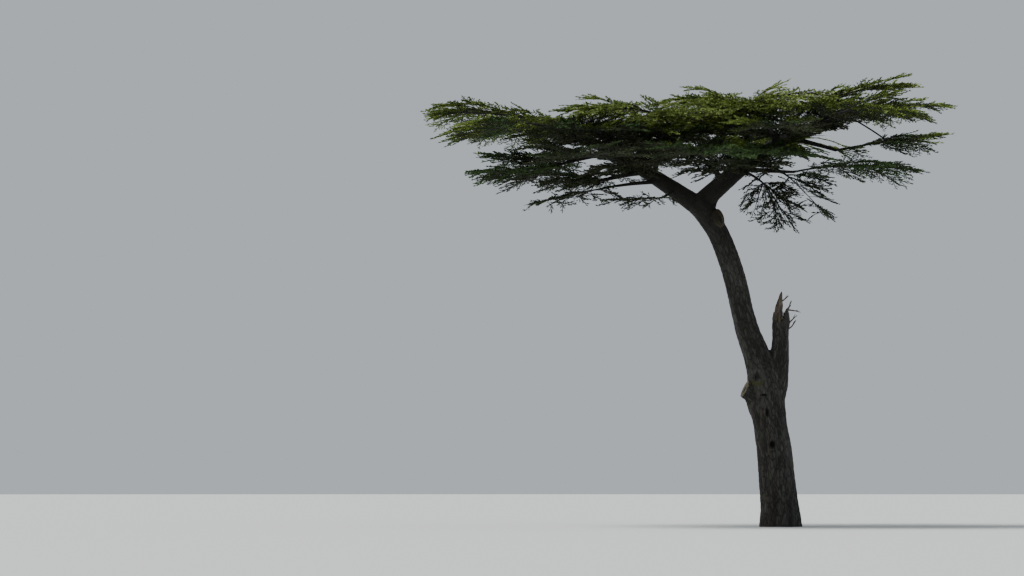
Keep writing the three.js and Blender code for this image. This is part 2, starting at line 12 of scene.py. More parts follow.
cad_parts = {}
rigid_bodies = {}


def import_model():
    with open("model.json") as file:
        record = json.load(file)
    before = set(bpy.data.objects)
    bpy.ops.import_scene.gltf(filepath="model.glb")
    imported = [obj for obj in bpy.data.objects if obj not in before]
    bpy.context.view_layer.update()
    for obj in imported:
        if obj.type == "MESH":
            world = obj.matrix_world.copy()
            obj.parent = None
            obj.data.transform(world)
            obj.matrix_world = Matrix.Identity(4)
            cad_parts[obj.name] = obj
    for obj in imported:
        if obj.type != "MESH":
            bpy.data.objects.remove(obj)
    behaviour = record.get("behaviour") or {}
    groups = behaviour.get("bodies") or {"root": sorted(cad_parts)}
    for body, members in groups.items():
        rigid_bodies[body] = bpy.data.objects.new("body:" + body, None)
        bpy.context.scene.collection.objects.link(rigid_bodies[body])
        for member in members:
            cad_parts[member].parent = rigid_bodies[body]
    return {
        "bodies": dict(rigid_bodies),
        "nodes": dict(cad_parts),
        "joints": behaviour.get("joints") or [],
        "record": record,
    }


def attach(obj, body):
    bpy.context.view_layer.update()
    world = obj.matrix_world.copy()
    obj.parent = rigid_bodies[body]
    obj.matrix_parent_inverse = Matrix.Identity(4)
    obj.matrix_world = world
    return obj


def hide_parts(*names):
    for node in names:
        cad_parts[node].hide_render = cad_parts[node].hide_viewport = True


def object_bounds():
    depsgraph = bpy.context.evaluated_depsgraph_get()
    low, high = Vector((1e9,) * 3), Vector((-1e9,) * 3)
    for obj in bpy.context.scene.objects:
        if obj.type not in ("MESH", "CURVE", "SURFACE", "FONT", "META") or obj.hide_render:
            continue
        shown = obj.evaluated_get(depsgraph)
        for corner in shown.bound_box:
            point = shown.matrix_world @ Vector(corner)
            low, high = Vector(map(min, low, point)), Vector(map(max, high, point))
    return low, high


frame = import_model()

bl_info = {
    "name": "Cedar of Lebanon",
    "version": (1, 0, 0),
    "blender": (4, 5, 0),
    "location": "View3D > Sidebar > Cedar",
    "description": "Grows a mature cedar of Lebanon with bark, stubs and plates of needles",
    "category": "Object",
}

CAD_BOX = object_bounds()
UP = np.array((0.0, 0.0, 1.0))
NORTH = np.array((0.0, 1.0, 0.0))
UPRIGHT = 0.95  # the upward part of a direction that is taken as straight up
NEVER_ZERO = 1e-9  # the least length that anything is divided by
BLOCK = 4000  # points that are handled at once, to save memory

# The point that the tree is seen from, and the way to the soft light. Both are along X,
# along Y and up.
VIEWPOINT = np.array((-11.08, -118.0, 1.6))
LIGHT_FROM = np.array((-0.50, -0.05, 0.86))
FLOOR_RADIUS, FLOOR_SIDES = 600, 96
SENSOR_WIDTH = 36  # in millimetres

# The trunk's stations: height, lean along X, sway along Y, radius.
TRUNK = (
    (-0.4, 0.020, 0.000, 0.930),
    (0.0, 0.000, 0.000, 0.840),
    (0.8, -0.015, 0.010, 0.785),
    (2.1, -0.120, 0.020, 0.750),
    (3.2, -0.215, 0.030, 0.725),
    (4.2, -0.370, 0.030, 0.690),
    (5.3, -0.510, 0.020, 0.735),
    (6.2, -0.620, 0.000, 0.715),
    (7.1, -0.930, -0.030, 0.550),
    (8.0, -1.270, -0.060, 0.495),
    (9.0, -1.530, -0.080, 0.455),
    (10.1, -1.770, -0.070, 0.450),
    (11.2, -2.100, -0.040, 0.440),
    (12.25, -2.530, 0.000, 0.430),
    (13.05, -3.030, 0.000, 0.470),
    (13.5, -3.360, 0.000, 0.520),
)
# The buttresses at the trunk's foot, and the height at which they fade.
FLARE = {"lobes": 5, "depth": 0.085, "swell": 0.5, "height": 0.87}

# The second stem, snapped off.
BROKEN_STEM = (
    (5.9, -0.065, -0.040, 0.430),
    (6.9, 0.005, -0.060, 0.410),
    (7.7, 0.065, -0.060, 0.350),
    (8.5, 0.068, -0.050, 0.345),
)

# The second stem's foot inside the trunk: its first two points, and the radius there.
STEM_FOOT = ((-0.36, 0, 4.3), (-0.14, -0.03, 5.2))
STEM_FOOT_RADIUS = 0.34

# Dead twigs: place round the stem, distance of the root from its middle, foot above the
# break, length, rise, radius, and how far it bows upwards.
DEAD_TWIGS = (
    (0, 0.0, 0.800, 0.435, 38, 0.044, -0.02),
    (0, 0.24, 0.480, 0.450, 59, 0.038, -0.07),
    (12, 0.28, 0.450, 0.290, 54, 0.050, 0.0),
    (350, 0.25, 0.475, 0.600, -10, 0.038, 0.02),
    (8, 0.25, -0.200, 0.640, 45, 0.042, 0.02),
    (355, 0.25, -0.330, 0.550, 44, 0.042, -0.09),
)

# Limbs sawn off short: name, height, heading, rise, length, radius, radius of the face.
SAWN_STUBS = (
    ("sawn_stub_low", 5.25, 188, 25, 1.03, 0.50, 0.38),
    ("sawn_stub_high", 12.63, -55, 16, 0.50, 0.38, 0.36),
)
# The width and the height of each stub, as shares of its round radius.
STUB_OVALS = {"sawn_stub_low": (1.0, 1.0), "sawn_stub_high": (0.76, 1.14)}

# Main boughs: name, place on the trunk, heading, run, rise, arch, radius, tip radius,
# then the plate: heading, reach, lift, spread, depth, roll.
MAIN_BOUGHS = (
    ("bough_left", 0.945, 178, 5.80, 3.38, 0.08, 0.42, 0.120, (179, 5.6, 0.70, 5.0, 0.85, 0)),
    ("bough_right", 0.98, -3, 6.15, 3.65, 0.20, 0.43, 0.125, (0, 4.3, 0.43, 4.2, 0.70, 0)),
)

# Side boughs: name, parent, place on it, heading, run, rise, arch, radius, then the
# plate. A plate with a roll hangs, and is open.
BOUGHS = (
    ("left_low", "bough_left", 0.42, 209, 2.01, -0.48, 0.03, 0.150, (181, 5.35, 0.30, 4.6, 1.0, 0)),
    ("left_droop", "bough_left", 0.30, 212, 3.00, -0.45, 0.03, 0.095, (191, 3.40, -0.65, 1.8, 0.5, 50)),
    ("left_mid", "bough_left", 0.66, 155, 2.75, -0.47, 0.03, 0.115, (174, 2.75, 0.56, 3.0, 0.6, 0)),
    ("left_inner", "bough_left", 0.20, 240, 0.97, -0.33, 0.05, 0.075, (195, 2.65, -0.20, 1.3, 0.4, 60)),
    ("left_front", "bough_left", 0.72, 246, 3.34, 0.18, 0.05, 0.165, (218, 4.80, 0.15, 4.7, 0.95, 0)),
    ("left_front_inner", "bough_left", 0.45, 257, 3.07, -0.13, 0.06, 0.160, (237, 5.2, -0.24, 4.6, 1.3, 0)),
    ("left_front_high", "bough_left", 0.60, 253, 2.53, 0.42, 0.08, 0.140, (264, 3.9, 0.0, 3.6, 0.75, 0)),
    ("left_back", "bough_left", 0.80, 113, 3.09, 0.56, 0.05, 0.160, (146, 5.20, 0.44, 4.2, 0.85, 0)),
    ("left_back_inner", "bough_left", 0.55, 107, 3.54, 1.48, 0.06, 0.165, (105, 4.9, 0.60, 3.7, 1.3, 0)),
    ("top_left", "bough_left", 0.60, 57, 1.65, 1.85, 0.20, 0.125, (161, 3.45, 0.43, 4.2, 0.95, 0)),
    ("top_left_front", "bough_left", 0.36, 285, 2.05, 2.00, 0.20, 0.130, (200, 3.8, 0.38, 4.4, 0.9, 0)),
    ("top_centre", "bough_right", 0.34, 100, 1.23, 2.48, 0.25, 0.150, (162, 3.50, 0.06, 4.0, 1.15, 0)),
    ("top_crest", "bough_right", 0.34, 252, 1.57, 2.05, 0.25, 0.130, (11, 4.00, 0.26, 4.2, 1.2, 0)),
    ("top_right", "bough_right", 0.55, 44, 1.54, 1.48, 0.20, 0.125, (356, 4.65, 0.98, 3.3, 0.9, 0)),
    ("right_mid", "bough_right", 0.60, 334, 2.10, -0.63, 0.03, 0.130, (1, 4.55, 0.59, 3.9, 0.85, 0)),
    ("right_low", "bough_right", 0.28, 324, 2.56, -0.32, -0.02, 0.115, (4, 5.00, 0.10, 3.6, 0.75, 0)),
    ("right_hang", "bough_right", 0.36, 329, 1.71, -0.86, 0.12, 0.080, (7, 1.55, -1.56, 2.0, 0.7, 70)),
    ("right_hang_inner", "bough_right", 0.26, 314, 1.42, -0.66, 0.15, 0.08, (346, 1.23, -1.85, 2.0, 0.7, 70)),
    ("right_front", "bough_right", 0.70, 294, 2.93, 0.36, 0.06, 0.155, (317, 3.95, -0.27, 4.4, 0.75, 0)),
    ("right_front_inner", "bough_right", 0.52, 261, 3.17, 0.09, 0.06, 0.155, (268, 5.0, -0.45, 4.4, 1.1, 0)),
    ("right_back", "bough_right", 0.78, 61, 3.48, 0.74, 0.06, 0.155, (39, 4.45, 0.35, 4.0, 0.75, 0)),
    ("right_back_inner", "bough_right", 0.55, 80, 3.84, 0.46, 0.06, 0.160, (78, 4.9, 0.50, 4.3, 1.1, 0)),
    ("front_low", "bough_right", 0.16, 251, 2.70, 0.52, 0.08, 0.150, (263, 5.00, -0.20, 4.2, 1.2, 0)),
    ("front_right_low", "bough_right", 0.24, 281, 2.06, 0.32, 0.08, 0.115, (303, 3.5, -0.17, 3.7, 0.7, 0)),
    ("back_mid", "bough_left", 0.42, 76, 3.73, 1.45, 0.08, 0.165, (90, 4.90, 0.42, 3.6, 1.5, 0)),
    ("back_right", "bough_right", 0.28, 99, 4.02, 2.15, 0.08, 0.150, (82, 4.75, 0.40, 3.6, 1.4, 0)),
)
BOUGH_TIP = 0.45  # a side bough's tip radius, as a share of its foot's
# The swelling at a side bough's foot, and the share of the bough that it takes up.
COLLAR = {"swell": 0.25, "length": 0.14}

# Plates: how the stem leaves its bough, and how far the plate reaches to each side.
STEM = {"share": 0.9, "leaving": 0.3, "straight": 0.5, "arch": 0.09}
OUTLINE = {"foot": 0.14, "length": 0.78, "fullness": 0.65}
STEEPEST = 0.3  # the upward part of a branch's way, at most
# How far branches stand above their plate, in turn, as shares of its depth.
TIERS = (-0.35, 0.28, -0.1, 0.12, -0.24, 0.36, 0.0, 0.2)

# How many samples each kind of limb has, and how many the trunk has to find a height by.
SAMPLES = {"trunk": 280, "broken_stem": 60, "main_bough": 140, "side_bough": 60, "stub": 20, "search": 401}
RINGS = {"swell": 12, "bare_twig": 8}  # how many rings a single curve of each kind has

# The faces round each kind of tube.
SIDES = {"trunk": 44, "limb": 24, "swell": 16, "collar": 14, "side_bough": 12}
JOINED = 0.22  # the share of a side bough that is one mesh with the trunk
# Where a side bough's own mesh starts along it, and the gap between its rings.
SIDE_BOUGH = {"start": 0.06, "ring_gap": 0.08}
EASE = {"factor": 0.5, "rounds": 8}  # how joins between tubes are smoothed

# The bark's relief: how often each form repeats in a metre across, beside and along a
# limb, and its share of the depth.
RELIEF = {
    "flutes": ((1.7, 1.7, 0.22), 1.1),
    "ribs": ((4.2, 4.2, 0.5), 0.55),
    "plates": ((8.5, 8.5, 2.6), 0.75),
    "lumps": ((17, 17, 7), 0.3),
}
# A crack's width in cells of bark, and how far it lies below the limb's own surface.
CRACK = {"width": 0.35, "level": 0.6}
THIN_LIMB = {"girth": 0.55, "least": 0.12}  # limbs thinner than this have less relief
# Painted shade: the bark is painted darker inside the crown, where the crown shades it.
CROWN_SHADE = {"from": 9.5, "over": 4.5, "most": 0.9}  # heights over which the bark darkens
# Painted light, with the bark's own reddish colour: the bark is ruddier and lighter on its left side, where
# the light falls, and most so low down.
RUDDY_LIT_SIDE = {"from": 0.1, "over": 0.7, "top": 6.5, "fade": 3.0, "least": 0.25}

# Marks on the side of the trunk that faces the camera: place along X, height, half width,
# half height, depth, the lip raised round it and how dark the painted shade inside it is. The
# last is an old scar by the low stub.
HOLLOWS = (
    (-0.344, 3.39, 0.125, 0.155, 0.16, 0.05, 0.88),
    (-0.563, 4.72, 0.07, 0.22, 0.08, 0.02, 1.0),
    (-0.686, 5.43, 0.15, 0.06, 0.06, 0.03, 1.0),
    (-0.935, 6.20, 0.13, 0.19, 0.10, 0.05, 0.55),
)
OUT_OF_REACH = 99.0  # how far a mark is from points at the back
# The lip's place and width in half sizes of its hollow, and how pale it is.
LIP = {"at": 1.35, "width": 0.4, "pale": 0.25}
# Painted shade: how far out a hollow is painted dark.
HOLLOW_DARK = 0.85  # how far out a hollow is dark, in its half sizes
# The rim round the old scar, pale above and mossy below: place along X, height, half
# width and half height, then its form and the upper edge of the moss.
SCAR_RING = (-0.96, 6.17, 0.25, 0.29)
SCAR = {"grain": (9, 9, 9), "uneven": 0.35, "width": 0.3, "pale": 0.4}
MOSS_EDGE = {"below": 0.05, "uneven": 0.1, "fade": 0.2}

# Swellings of the bark: three points of a curve and the radius at each. They are the heel
# under the low stub, the torn bark at the right and the left of the break, and the crotch
# of the upper fork.
BARK_SWELLS = (
    (((-0.90, 0.0, 4.35), (-1.05, -0.04, 4.85), (-1.12, -0.06, 5.35)), (0.16, 0.25, 0.32)),
    (((0.22, -0.05, 8.15), (0.36, -0.05, 8.60), (0.33, -0.05, 8.98)), (0.20, 0.17, 0.07)),
    (((-0.17, 0.0, 8.20), (-0.20, 0.0, 8.60), (-0.18, 0.0, 8.90)), (0.12, 0.08, 0.045)),
    (((-2.88, 0.0, 13.00), (-2.80, 0.0, 13.35), (-2.62, 0.0, 13.60)), (0.20, 0.20, 0.15)),
)
# How the bark is torn at the break of the second stem, and how its rim is worn. Both
# reach so far from the stem's middle.
RAGGED_BREAK = {"reach": 0.5, "near": 0.3, "depth": 0.2, "grain": (5, 5, 0.4)}
WORN_RIM = {"reach": 0.7, "below": 0.25, "over": 0.5, "least": 0.6, "uneven": 1.2, "grain": (7, 7, 2)}

# The torn staves: place beside the stem's middle, facing, lean of the tip, height above
# the break, half width, half thickness.
SHARDS = (
    (-0.14, 0.0, 268, (0.20, 0.02, 0), 1.26, 0.25, 0.09),
    (0.17, 0.02, 285, (0.06, 0.0, 0), 0.42, 0.08, 0.08),
    (-0.19, 0.08, 195, (0.08, -0.02, 0), 0.70, 0.10, 0.05),
    (0.03, 0.20, 95, (0.02, -0.04, 0), 0.62, 0.16, 0.05),
    (0.16, 0.14, 50, (0.0, -0.04, 0), 0.42, 0.11, 0.05),
    (-0.10, -0.16, 240, (0.02, 0.03, 0), 0.40, 0.12, 0.05),
    (0.06, -0.21, 272, (0.0, 0.03, 0), 0.22, 0.11, 0.05),
)
SHARD_SINK = 0.26  # how deep a stave's foot stands in the stem
# A stave's faces, the powers by which it leans and tapers, its narrower foot and its
# ragged sides, which follow noise along it that is other for each height.
STAVE = {"rings": 16, "sides": 10, "lean": 1.4, "taper": 0.6, "foot": 0.55, "widening": 2, "ragged": 0.2}
STAVE_GRAIN = {"along": 6, "each": 9}

# The thin slivers round the rim. A pair is a least and a most value.
SLIVERS = {
    "count": 26,
    "rim": 0.30,
    "place": (0.55, 0.98),
    "sink": 0.2,
    "height": 0.2,
    "more_height": 0.42,
    "few_tall": 1.6,
    "lean": (-0.04, 0.06),
    "half_width": (0.03, 0.07),
    "thickness": 0.022,
}
# Ridges of torn wood: how often they repeat in a metre, and their depth.
WOOD_RIDGES = (((22, 22, 1.4), 0.012), ((48, 48, 4), 0.005))
# A dead twig, its fork from one of its rings, and the way that the fork takes.
DEAD_TWIG = {"rings": 9, "sides": 6, "taper": 0.6}
TWIG_FORK = {"ring": 5, "sides": 5, "thin": 0.5, "taper": 0.7}
FORK_WAY = {"reach": 0.3, "rise": 0.08, "plan": 300, "aside": 0.05}

# The sawn faces: a shallow dish inside the bark, with painted shade inside the crown that is darkest on the
# left of the high stub.
SAWN_FACE = {"rings": 9, "sides": 40, "innermost": 0.02, "inset": 0.97}
SAWN_DISH = {"proud": 0.012, "deep": 0.02, "skirt": 0.06}
SAWN_ROUGH = {"grain": (14, 14, 14), "depth": 0.006}
SAWN_SHADE = {"from": 0.6, "over": 0.25, "above": 9, "right": 0.95, "left": 0.35, "most": 0.97}

# How branches leave the stem of a level plate and of one that hangs: their spacing as a
# share of the setting, how loose their angles are in degrees, how much of the outline
# they fill, and how they rise and sag, as shares of their reach.
LEVEL = {"gap": 1.0, "loose": 9, "fullness": (0.72, 1.08), "rise": 0.06, "sag": 0.13, "tip_sag": 0.05}
HANGING = {"gap": 0.5, "loose": 24, "fullness": (0.35, 0.95), "rise": 0.0, "sag": 0.16}
# The branches of a hanging plate: how much they keep of its facing, their reach, how much
# shorter it gets along the plate, how far they turn in degrees, and their fall.
HANGING_SPRAY = {"facing": 0.45, "reach": 0.75, "shorter": 0.25, "turn": 55, "fall": 0.12}
# Where branches stand along a stem, their angles off it in degrees at its foot and its
# tip, how they spread above and below the plate, and how thick they are.
BRANCH = {
    "along": (0.04, 0.95),
    "rake": (70, 36),
    "tier_shift": 0.12,
    "tier_closes": 0.7,
    "forwards": 0.95,
    "swing": 0.12,
    "swings": (0.5, 0.4),
    "bend_raised": 0.8,
    "girth": 0.011,
    "radius": (0.007, 0.028),
}
# The feathery shoots on a branch, and the side shoots on a shoot. A rake is in degrees, at
# the foot and at the tip. A profile is how the length changes from the foot to the tip.
# A lift or a tilt is a middle value and its spread, or a spread alone.
SHOOT = {
    "along": (0.1, 0.97),
    "rake": (46, 20),
    "loose": 8,
    "tilt": 0.12,
    "lift": (0.02, 0.045),
    "fit": (0.25, 0.5, 0.5),
    "profile": (0.22, 0.6, 0.6),
    "lengths": (0.65, 1.15),
    "swing": 0.1,
    "girth": 0.018,
    "radius": (0.006, 0.017),
}
SIDE_SHOOT = {
    "along": (0.06, 1.0),
    "rake": (36, 14),
    "loose": 7,
    "lift": (0.03, 0.07),
    "widest": 0.42,
    "profile": (0.8, 0.55, 0.3, 1.5),
    "lengths": (0.7, 1.15),
    "least": 0.05,
    "radius": 0.006,
    # Painted light: a side shoot that lifts more is lighter in tone; the tone also scatters at random.
    "tone": (0.12, 0.03),
}
# The needles of a tuft: leans and turns off the side shoot, how flat they lie, and their
# lengths and widths as shares of the settings.
NEEDLE = {
    "along": (0.15, 1.0),
    "jitter": 0.2,
    "lean": (4, 26),
    "turn": 1.15,
    "flat": 0.9,
    "lengths": (0.75, 1.15),
    "widths": (0.8, 1.2),
    "widest": 0.45,
}
# The outer part of a line that is clothed like a finer one: its share of the line, and the
# painted light that it adds to the tone.
OUTER_BRANCH = (0.36, 0.1)
OUTER_SHOOT = (0.42, 0.08)
OUTER_NEEDLES = 0.7
OUTER_GIRTH = 0.6  # its girth at its start, as a share of the line's
MID_SPRAY = 0.7  # where along a spray its light is taken
TUBE_TAPER = 0.75  # how much thinner a twig is at its tip than at its foot
# Sides and steps of the tubes of each kind of twig.
TUBES = {"stems": (6, 12), "branches": (4, 4), "shoots": (3, 2), "side_shoots": (3, 1)}
PIECE_KITES = 94000  # two triangles each, so a piece stays under 200,000

# Plates that fill less of their room, droop less, or get more or less painted light: shares of
# the width, the length and the droop, and the painted light or shade added to the tone.
TRIMS = {
    "right_front_inner": (0.72, 1.0, 0.1, -0.3),
    "right_front": (0.8, 0.92, 1.0, 0.0),
    "right_back": (0.8, 0.92, 1.0, 0.0),
    "bough_right": (0.8, 0.93, 0.4, 0.05),
    "left_droop": (0.9, 0.8, 1.0, -0.3),
    "left_inner": (1.0, 0.85, 1.0, -0.3),
    "front_low": (1.0, 1.0, 0.2, -0.15),
    "front_right_low": (1.0, 1.0, 0.5, -0.05),
    "left_front_inner": (1.0, 1.0, 0.1, -0.4),
    "left_front_high": (1.0, 1.0, 0.3, -0.2),
    "top_right": (1.0, 0.95, 0.1, 0.1),
    "left_low": (1.0, 1.0, 1.0, 0.1),
    "right_low": (1.0, 1.0, 1.0, 0.1),
    "right_mid": (1.0, 0.93, 1.0, 0.0),
    "right_hang": (1.0, 1.0, 1.0, -0.2),
    "right_hang_inner": (1.0, 1.0, 1.0, -0.2),
    "top_centre": (1.0, 1.0, 1.0, 0.5),
    "top_left_front": (1.0, 1.0, 1.0, 0.4),
    "top_left": (1.0, 1.0, 1.0, 0.25),
    "top_crest": (1.0, 1.0, 1.0, 0.4),
}
WHOLE = (1, 1, 1, 0)  # for a plate that isn't trimmed

# More plates, which fill the top, clothe the hanging boughs and cover the left bough: the
# bough, place along it, heading, reach, lift, width, depth, and the painted light or shade added to the tone.
MORE_PLATES = (
    ("top_left_front", 0.95, 300, 2.6, 0.25, 3.0, 0.6, 0.6),
    ("top_left_front", 0.95, 262, 2.2, 0.0, 2.6, 0.5, 0.6),
    ("top_left", 0.95, 350, 3.0, 0.10, 3.0, 0.5, 0.3),
    ("top_left_front", 0.95, 20, 3.0, 0.30, 2.8, 0.5, 0.3),
    ("top_centre", 0.9, 275, 2.4, -0.1, 3.2, 0.6, 0.6),
    ("top_centre", 0.95, 215, 2.6, 0.1, 2.8, 0.6, 0.6),
    ("top_crest", 0.95, 290, 2.6, -0.15, 3.2, 0.6, 0.6),
    ("top_crest", 0.9, 240, 2.4, -0.2, 2.8, 0.6, 0.6),
    ("top_right", 0.9, 280, 2.4, -0.2, 2.8, 0.5, 0.6),
    ("right_hang_inner", 0.80, 205, 0.6, -0.45, 1.0, 0.3, -0.2),
    ("right_hang_inner", 0.98, 300, 0.7, -0.70, 1.2, 0.4, -0.2),
    ("right_hang_inner", 0.98, 120, 0.7, -1.20, 1.2, 0.4, -0.2),
    ("right_hang_inner", 0.98, 178, 0.85, -0.85, 1.0, 0.4, -0.2),
    ("right_hang_inner", 0.98, 340, 0.75, -1.75, 1.4, 0.4, -0.2),
    ("right_hang_inner", 0.98, 35, 1.30, -1.55, 1.4, 0.4, -0.2),
    ("right_hang_inner", 0.98, 350, 1.0, -1.00, 1.2, 0.4, -0.2),
    ("right_hang_inner", 0.98, 5, 1.1, -0.25, 0.9, 0.3, -0.2),
    ("right_hang", 0.6, 185, 0.8, -0.45, 0.7, 0.3, -0.2),
    ("right_hang", 0.9, 2, 1.7, -0.30, 0.9, 0.3, -0.2),
    ("right_hang", 0.98, 20, 1.4, -0.65, 0.8, 0.3, -0.2),
    ("right_hang", 0.98, 200, 0.7, -1.10, 1.1, 0.3, -0.2),
    ("top_left", 0.95, 275, 2.4, -0.3, 2.8, 0.4, 0.3),
    ("top_left_front", 0.95, 110, 2.4, 0.2, 2.8, 0.4, 0.3),
    ("bough_left", 0.98, 5, 2.6, 0.3, 2.8, 0.4, 0.2),
)

# Smaller plates inside the crown: which boughs carry them, the places along the bough and
# the hand of each, their reach and their rise.
SMALL_PLATES = (
    (
        (
            "left_mid", "left_front", "left_front_inner", "left_front_high", "left_back", "left_back_inner",
            "right_front", "right_front_inner", "right_back", "right_back_inner", "front_low",
            "front_right_low", "back_mid", "back_right",
        ),
        ((0.45, 1), (0.62, -1), (0.85, 1)), (1.5, 2.6), (0.1, 1.0),
    ),
    (
        ("top_left", "top_left_front", "top_centre", "top_crest", "top_right"),
        ((0.35, -1), (0.5, 1), (0.65, -1), (0.85, 1)), (1.3, 2.2), (-0.6, 0.1),
    ),
    (
        ("top_left", "top_left_front", "top_centre"),
        ((0.55, -1), (0.7, 1), (0.8, -1), (0.92, 1)), (2.0, 3.0), (-0.3, 0.2),
    ),
    (
        ("top_centre", "top_crest", "top_right"),
        ((0.7, 1), (0.8, -1), (0.9, 1), (0.98, -1)), (1.6, 2.6), (0.2, 0.8),
    ),
    (("left_low", "left_mid"), ((0.5, 1), (0.7, -1), (0.9, 1), (1.0, -1)), (1.8, 2.8), (-0.4, 0.1)),
    (
        ("front_low", "front_right_low", "left_front_inner"),
        ((0.35, -1), (0.5, 1), (0.75, -1), (0.9, 1)), (1.5, 2.4), (-0.45, 0.1),
    ),
    (
        ("bough_left", "bough_right"),
        ((0.3, 1), (0.36, -1), (0.45, 1), (0.52, -1), (0.62, 1), (0.7, -1), (0.85, 1)),
        (1.4, 2.3), (0.3, 1.1),
    ),
)
# How those plates leave their bough, their stems, their width as a share of the reach, and the painted shade
# that darkens their tone.
SMALL_PLATE = {
    "aside": (0.3, 1.1),
    "bend": 0.45,
    "bend_rise": 0.75,
    "radius": 0.03,
    "width": 0.85,
    "depth": 0.5,
    "tone": -0.1,
}
# The stems of the plates that fill the top and clothe the hanging boughs.
FILLING_PLATE = {"bend": 0.45, "arch": 0.2, "radius": 0.035}

# Painted light and shade: lit and shaded copies of the needles' green, by tone from light to
# dark, and the least tone of each but the last two. Below a wavy height the lit sprays are cool.
SHADES = ("bright", "sunlit", "fresh", "green", "deep", "shaded", "cool")
SHADE_STEPS = (1.1, 0.78, 0.6, 0.4, 0.2)
COOL = {"below": 15.8, "wave": 0.6, "pace": 2.3}

# How far a spray's end may stand past the frame's own box.
REACH_OVER = 0.12
# Where sky shows through the crown from the viewpoint, at the trunk's distance: place along
# X, height, half width and half height.
CLEARINGS = ((2.86, 16.16, 1.3, 0.34), (3.44, 16.54, 0.5, 0.29), (1.75, 15.92, 0.8, 0.2))

# What dims a spray with painted shade: those that stand over it within a metre, and its depth in the crown.
COVER = {"cell": 0.4, "near": 0.06, "far": 1.0, "crowd": 4.0, "local": 0.85, "deep": 2.6, "global": 0.28}
TOP_TONE = 1.02  # the tone of a spray in the open, before its plate's own light
SCATTER = 0.09  # how much the tone differs from spray to spray
TALLER = 100.0  # more than the height of any spray

# Painted pools of light and shade, where the crown is lighter or darker than its cover alone
# makes it: place along X, height, half width, half height, and what is added to the tone.
LIGHT_POOLS = (
    (-3.9, 17.05, 2.1, 0.7, 0.75),
    (-0.6, 15.75, 2.3, 0.45, 0.70),
    (-1.4, 17.70, 2.5, 0.7, 0.60),
    (0.7, 16.75, 1.9, 0.55, -0.30),
    (-6.4, 15.60, 2.7, 0.9, -0.25),
    (-9.7, 14.40, 2.3, 0.6, -0.20),
    (4.5, 15.00, 1.6, 0.7, 0.15),
)

# A bare twig that crosses the open sky on the right: three points of its curve.
BARE_TWIG = ((2.95, -1.20, 16.85), (3.75, -1.20, 16.40), (4.35, -1.20, 15.95))
BARE_TWIG_RADIUS = 0.035
STEEP_STEM = -0.5  # a stem that falls more steeply than this carries no shoots of its own

# The frame's nodes that each kind of piece stands for.
FOLIAGE_NODES = tuple(f"foliage_{bough[0]}" for bough in MAIN_BOUGHS + BOUGHS)
SIDE_BOUGHS = tuple(bough[0] for bough in BOUGHS)
BODY_LIMBS = ("trunk", "bough_left", "bough_right", "broken_stem", "sawn_stub_low", "sawn_stub_high")


def unit(vectors):
    """The vectors at a length of one."""
    return vectors / np.maximum(np.linalg.norm(vectors, axis=-1, keepdims=True), NEVER_ZERO)


def column(values):
    """Numbers as a column, to scale rows of vectors by."""
    return values[:, None]


def heading(plan, rise=0.0):
    """The direction at a plan angle and a rise, both in degrees."""
    plan, rise = math.radians(plan), math.radians(rise)
    level = math.cos(rise)
    return np.array((math.cos(plan) * level, math.sin(plan) * level, math.sin(rise)))


def leaning(offset):
    """The level and the upward part of an offset."""
    return math.hypot(offset[0], offset[1]), offset[2]


def mix(a, b, t):
    """The value at share t of the way from a to b."""
    return a + (b - a) * t


def bezier(a, b, c, t):
    """The points at t on a curve from a to c that bends towards b."""
    t = np.asarray(t, float)[..., None]
    return (1 - t) ** 2 * a + 2 * t * (1 - t) * b + t**2 * c


def knot_gap(a, b):
    """The root of the distance, which keeps a curve through uneven stations smooth."""
    return np.sqrt(np.linalg.norm(b - a, axis=-1, keepdims=True))


def station_curve(stations):
    """A centripetal curve through the stations."""
    knots = np.array([(lean, sway, height) for height, lean, sway, _ in stations])
    knots = np.vstack([2 * knots[0] - knots[1], knots, 2 * knots[-1] - knots[-2]])
    count = len(stations) - 1

    def curve(t):
        place = np.clip(np.asarray(t, float), 0, 1) * count
        i = np.minimum(place.astype(int), count - 1)
        w = (place - i)[..., None]
        p0, p1, p2, p3 = (knots[i + k] for k in range(4))
        d0, d1, d2 = (knot_gap(a, b) for a, b in ((p0, p1), (p1, p2), (p2, p3)))
        leave = ((p1 - p0) / d0 - (p2 - p0) / (d0 + d1) + (p2 - p1) / d1) * d1
        arrive = ((p2 - p1) / d1 - (p3 - p1) / (d1 + d2) + (p3 - p2) / d2) * d1
        bend = 3 * (p2 - p1) - 2 * leave - arrive
        return p1 + leave * w + bend * w**2 + (2 * (p1 - p2) + leave + arrive) * w**3

    return curve


def station_radius(stations):
    """The radius along the stations, as a function of t."""
    radii = np.array([s[3] for s in stations])
    return lambda t: np.interp(np.asarray(t) * (len(radii) - 1), np.arange(len(radii)), radii)


def bough_curve(start, plan, run, rise, arch):
    """A bough's curve, as a function of t. It arches up by a share of its run."""
    out = heading(plan)
    end = start + out * run + UP * rise
    middle = start + out * run / 2 + UP * (rise / 2 + arch * run)
    return lambda t: bezier(start, middle, end, t)


def bough_radius(foot, tip, swell):
    """A bough's radius with its collar, as a function of t."""

    def radius(t):
        collar = 1 + swell * np.maximum(0, 1 - np.asarray(t) / COLLAR["length"]) ** 2
        return mix(foot, tip, np.asarray(t)) * collar

    return radius


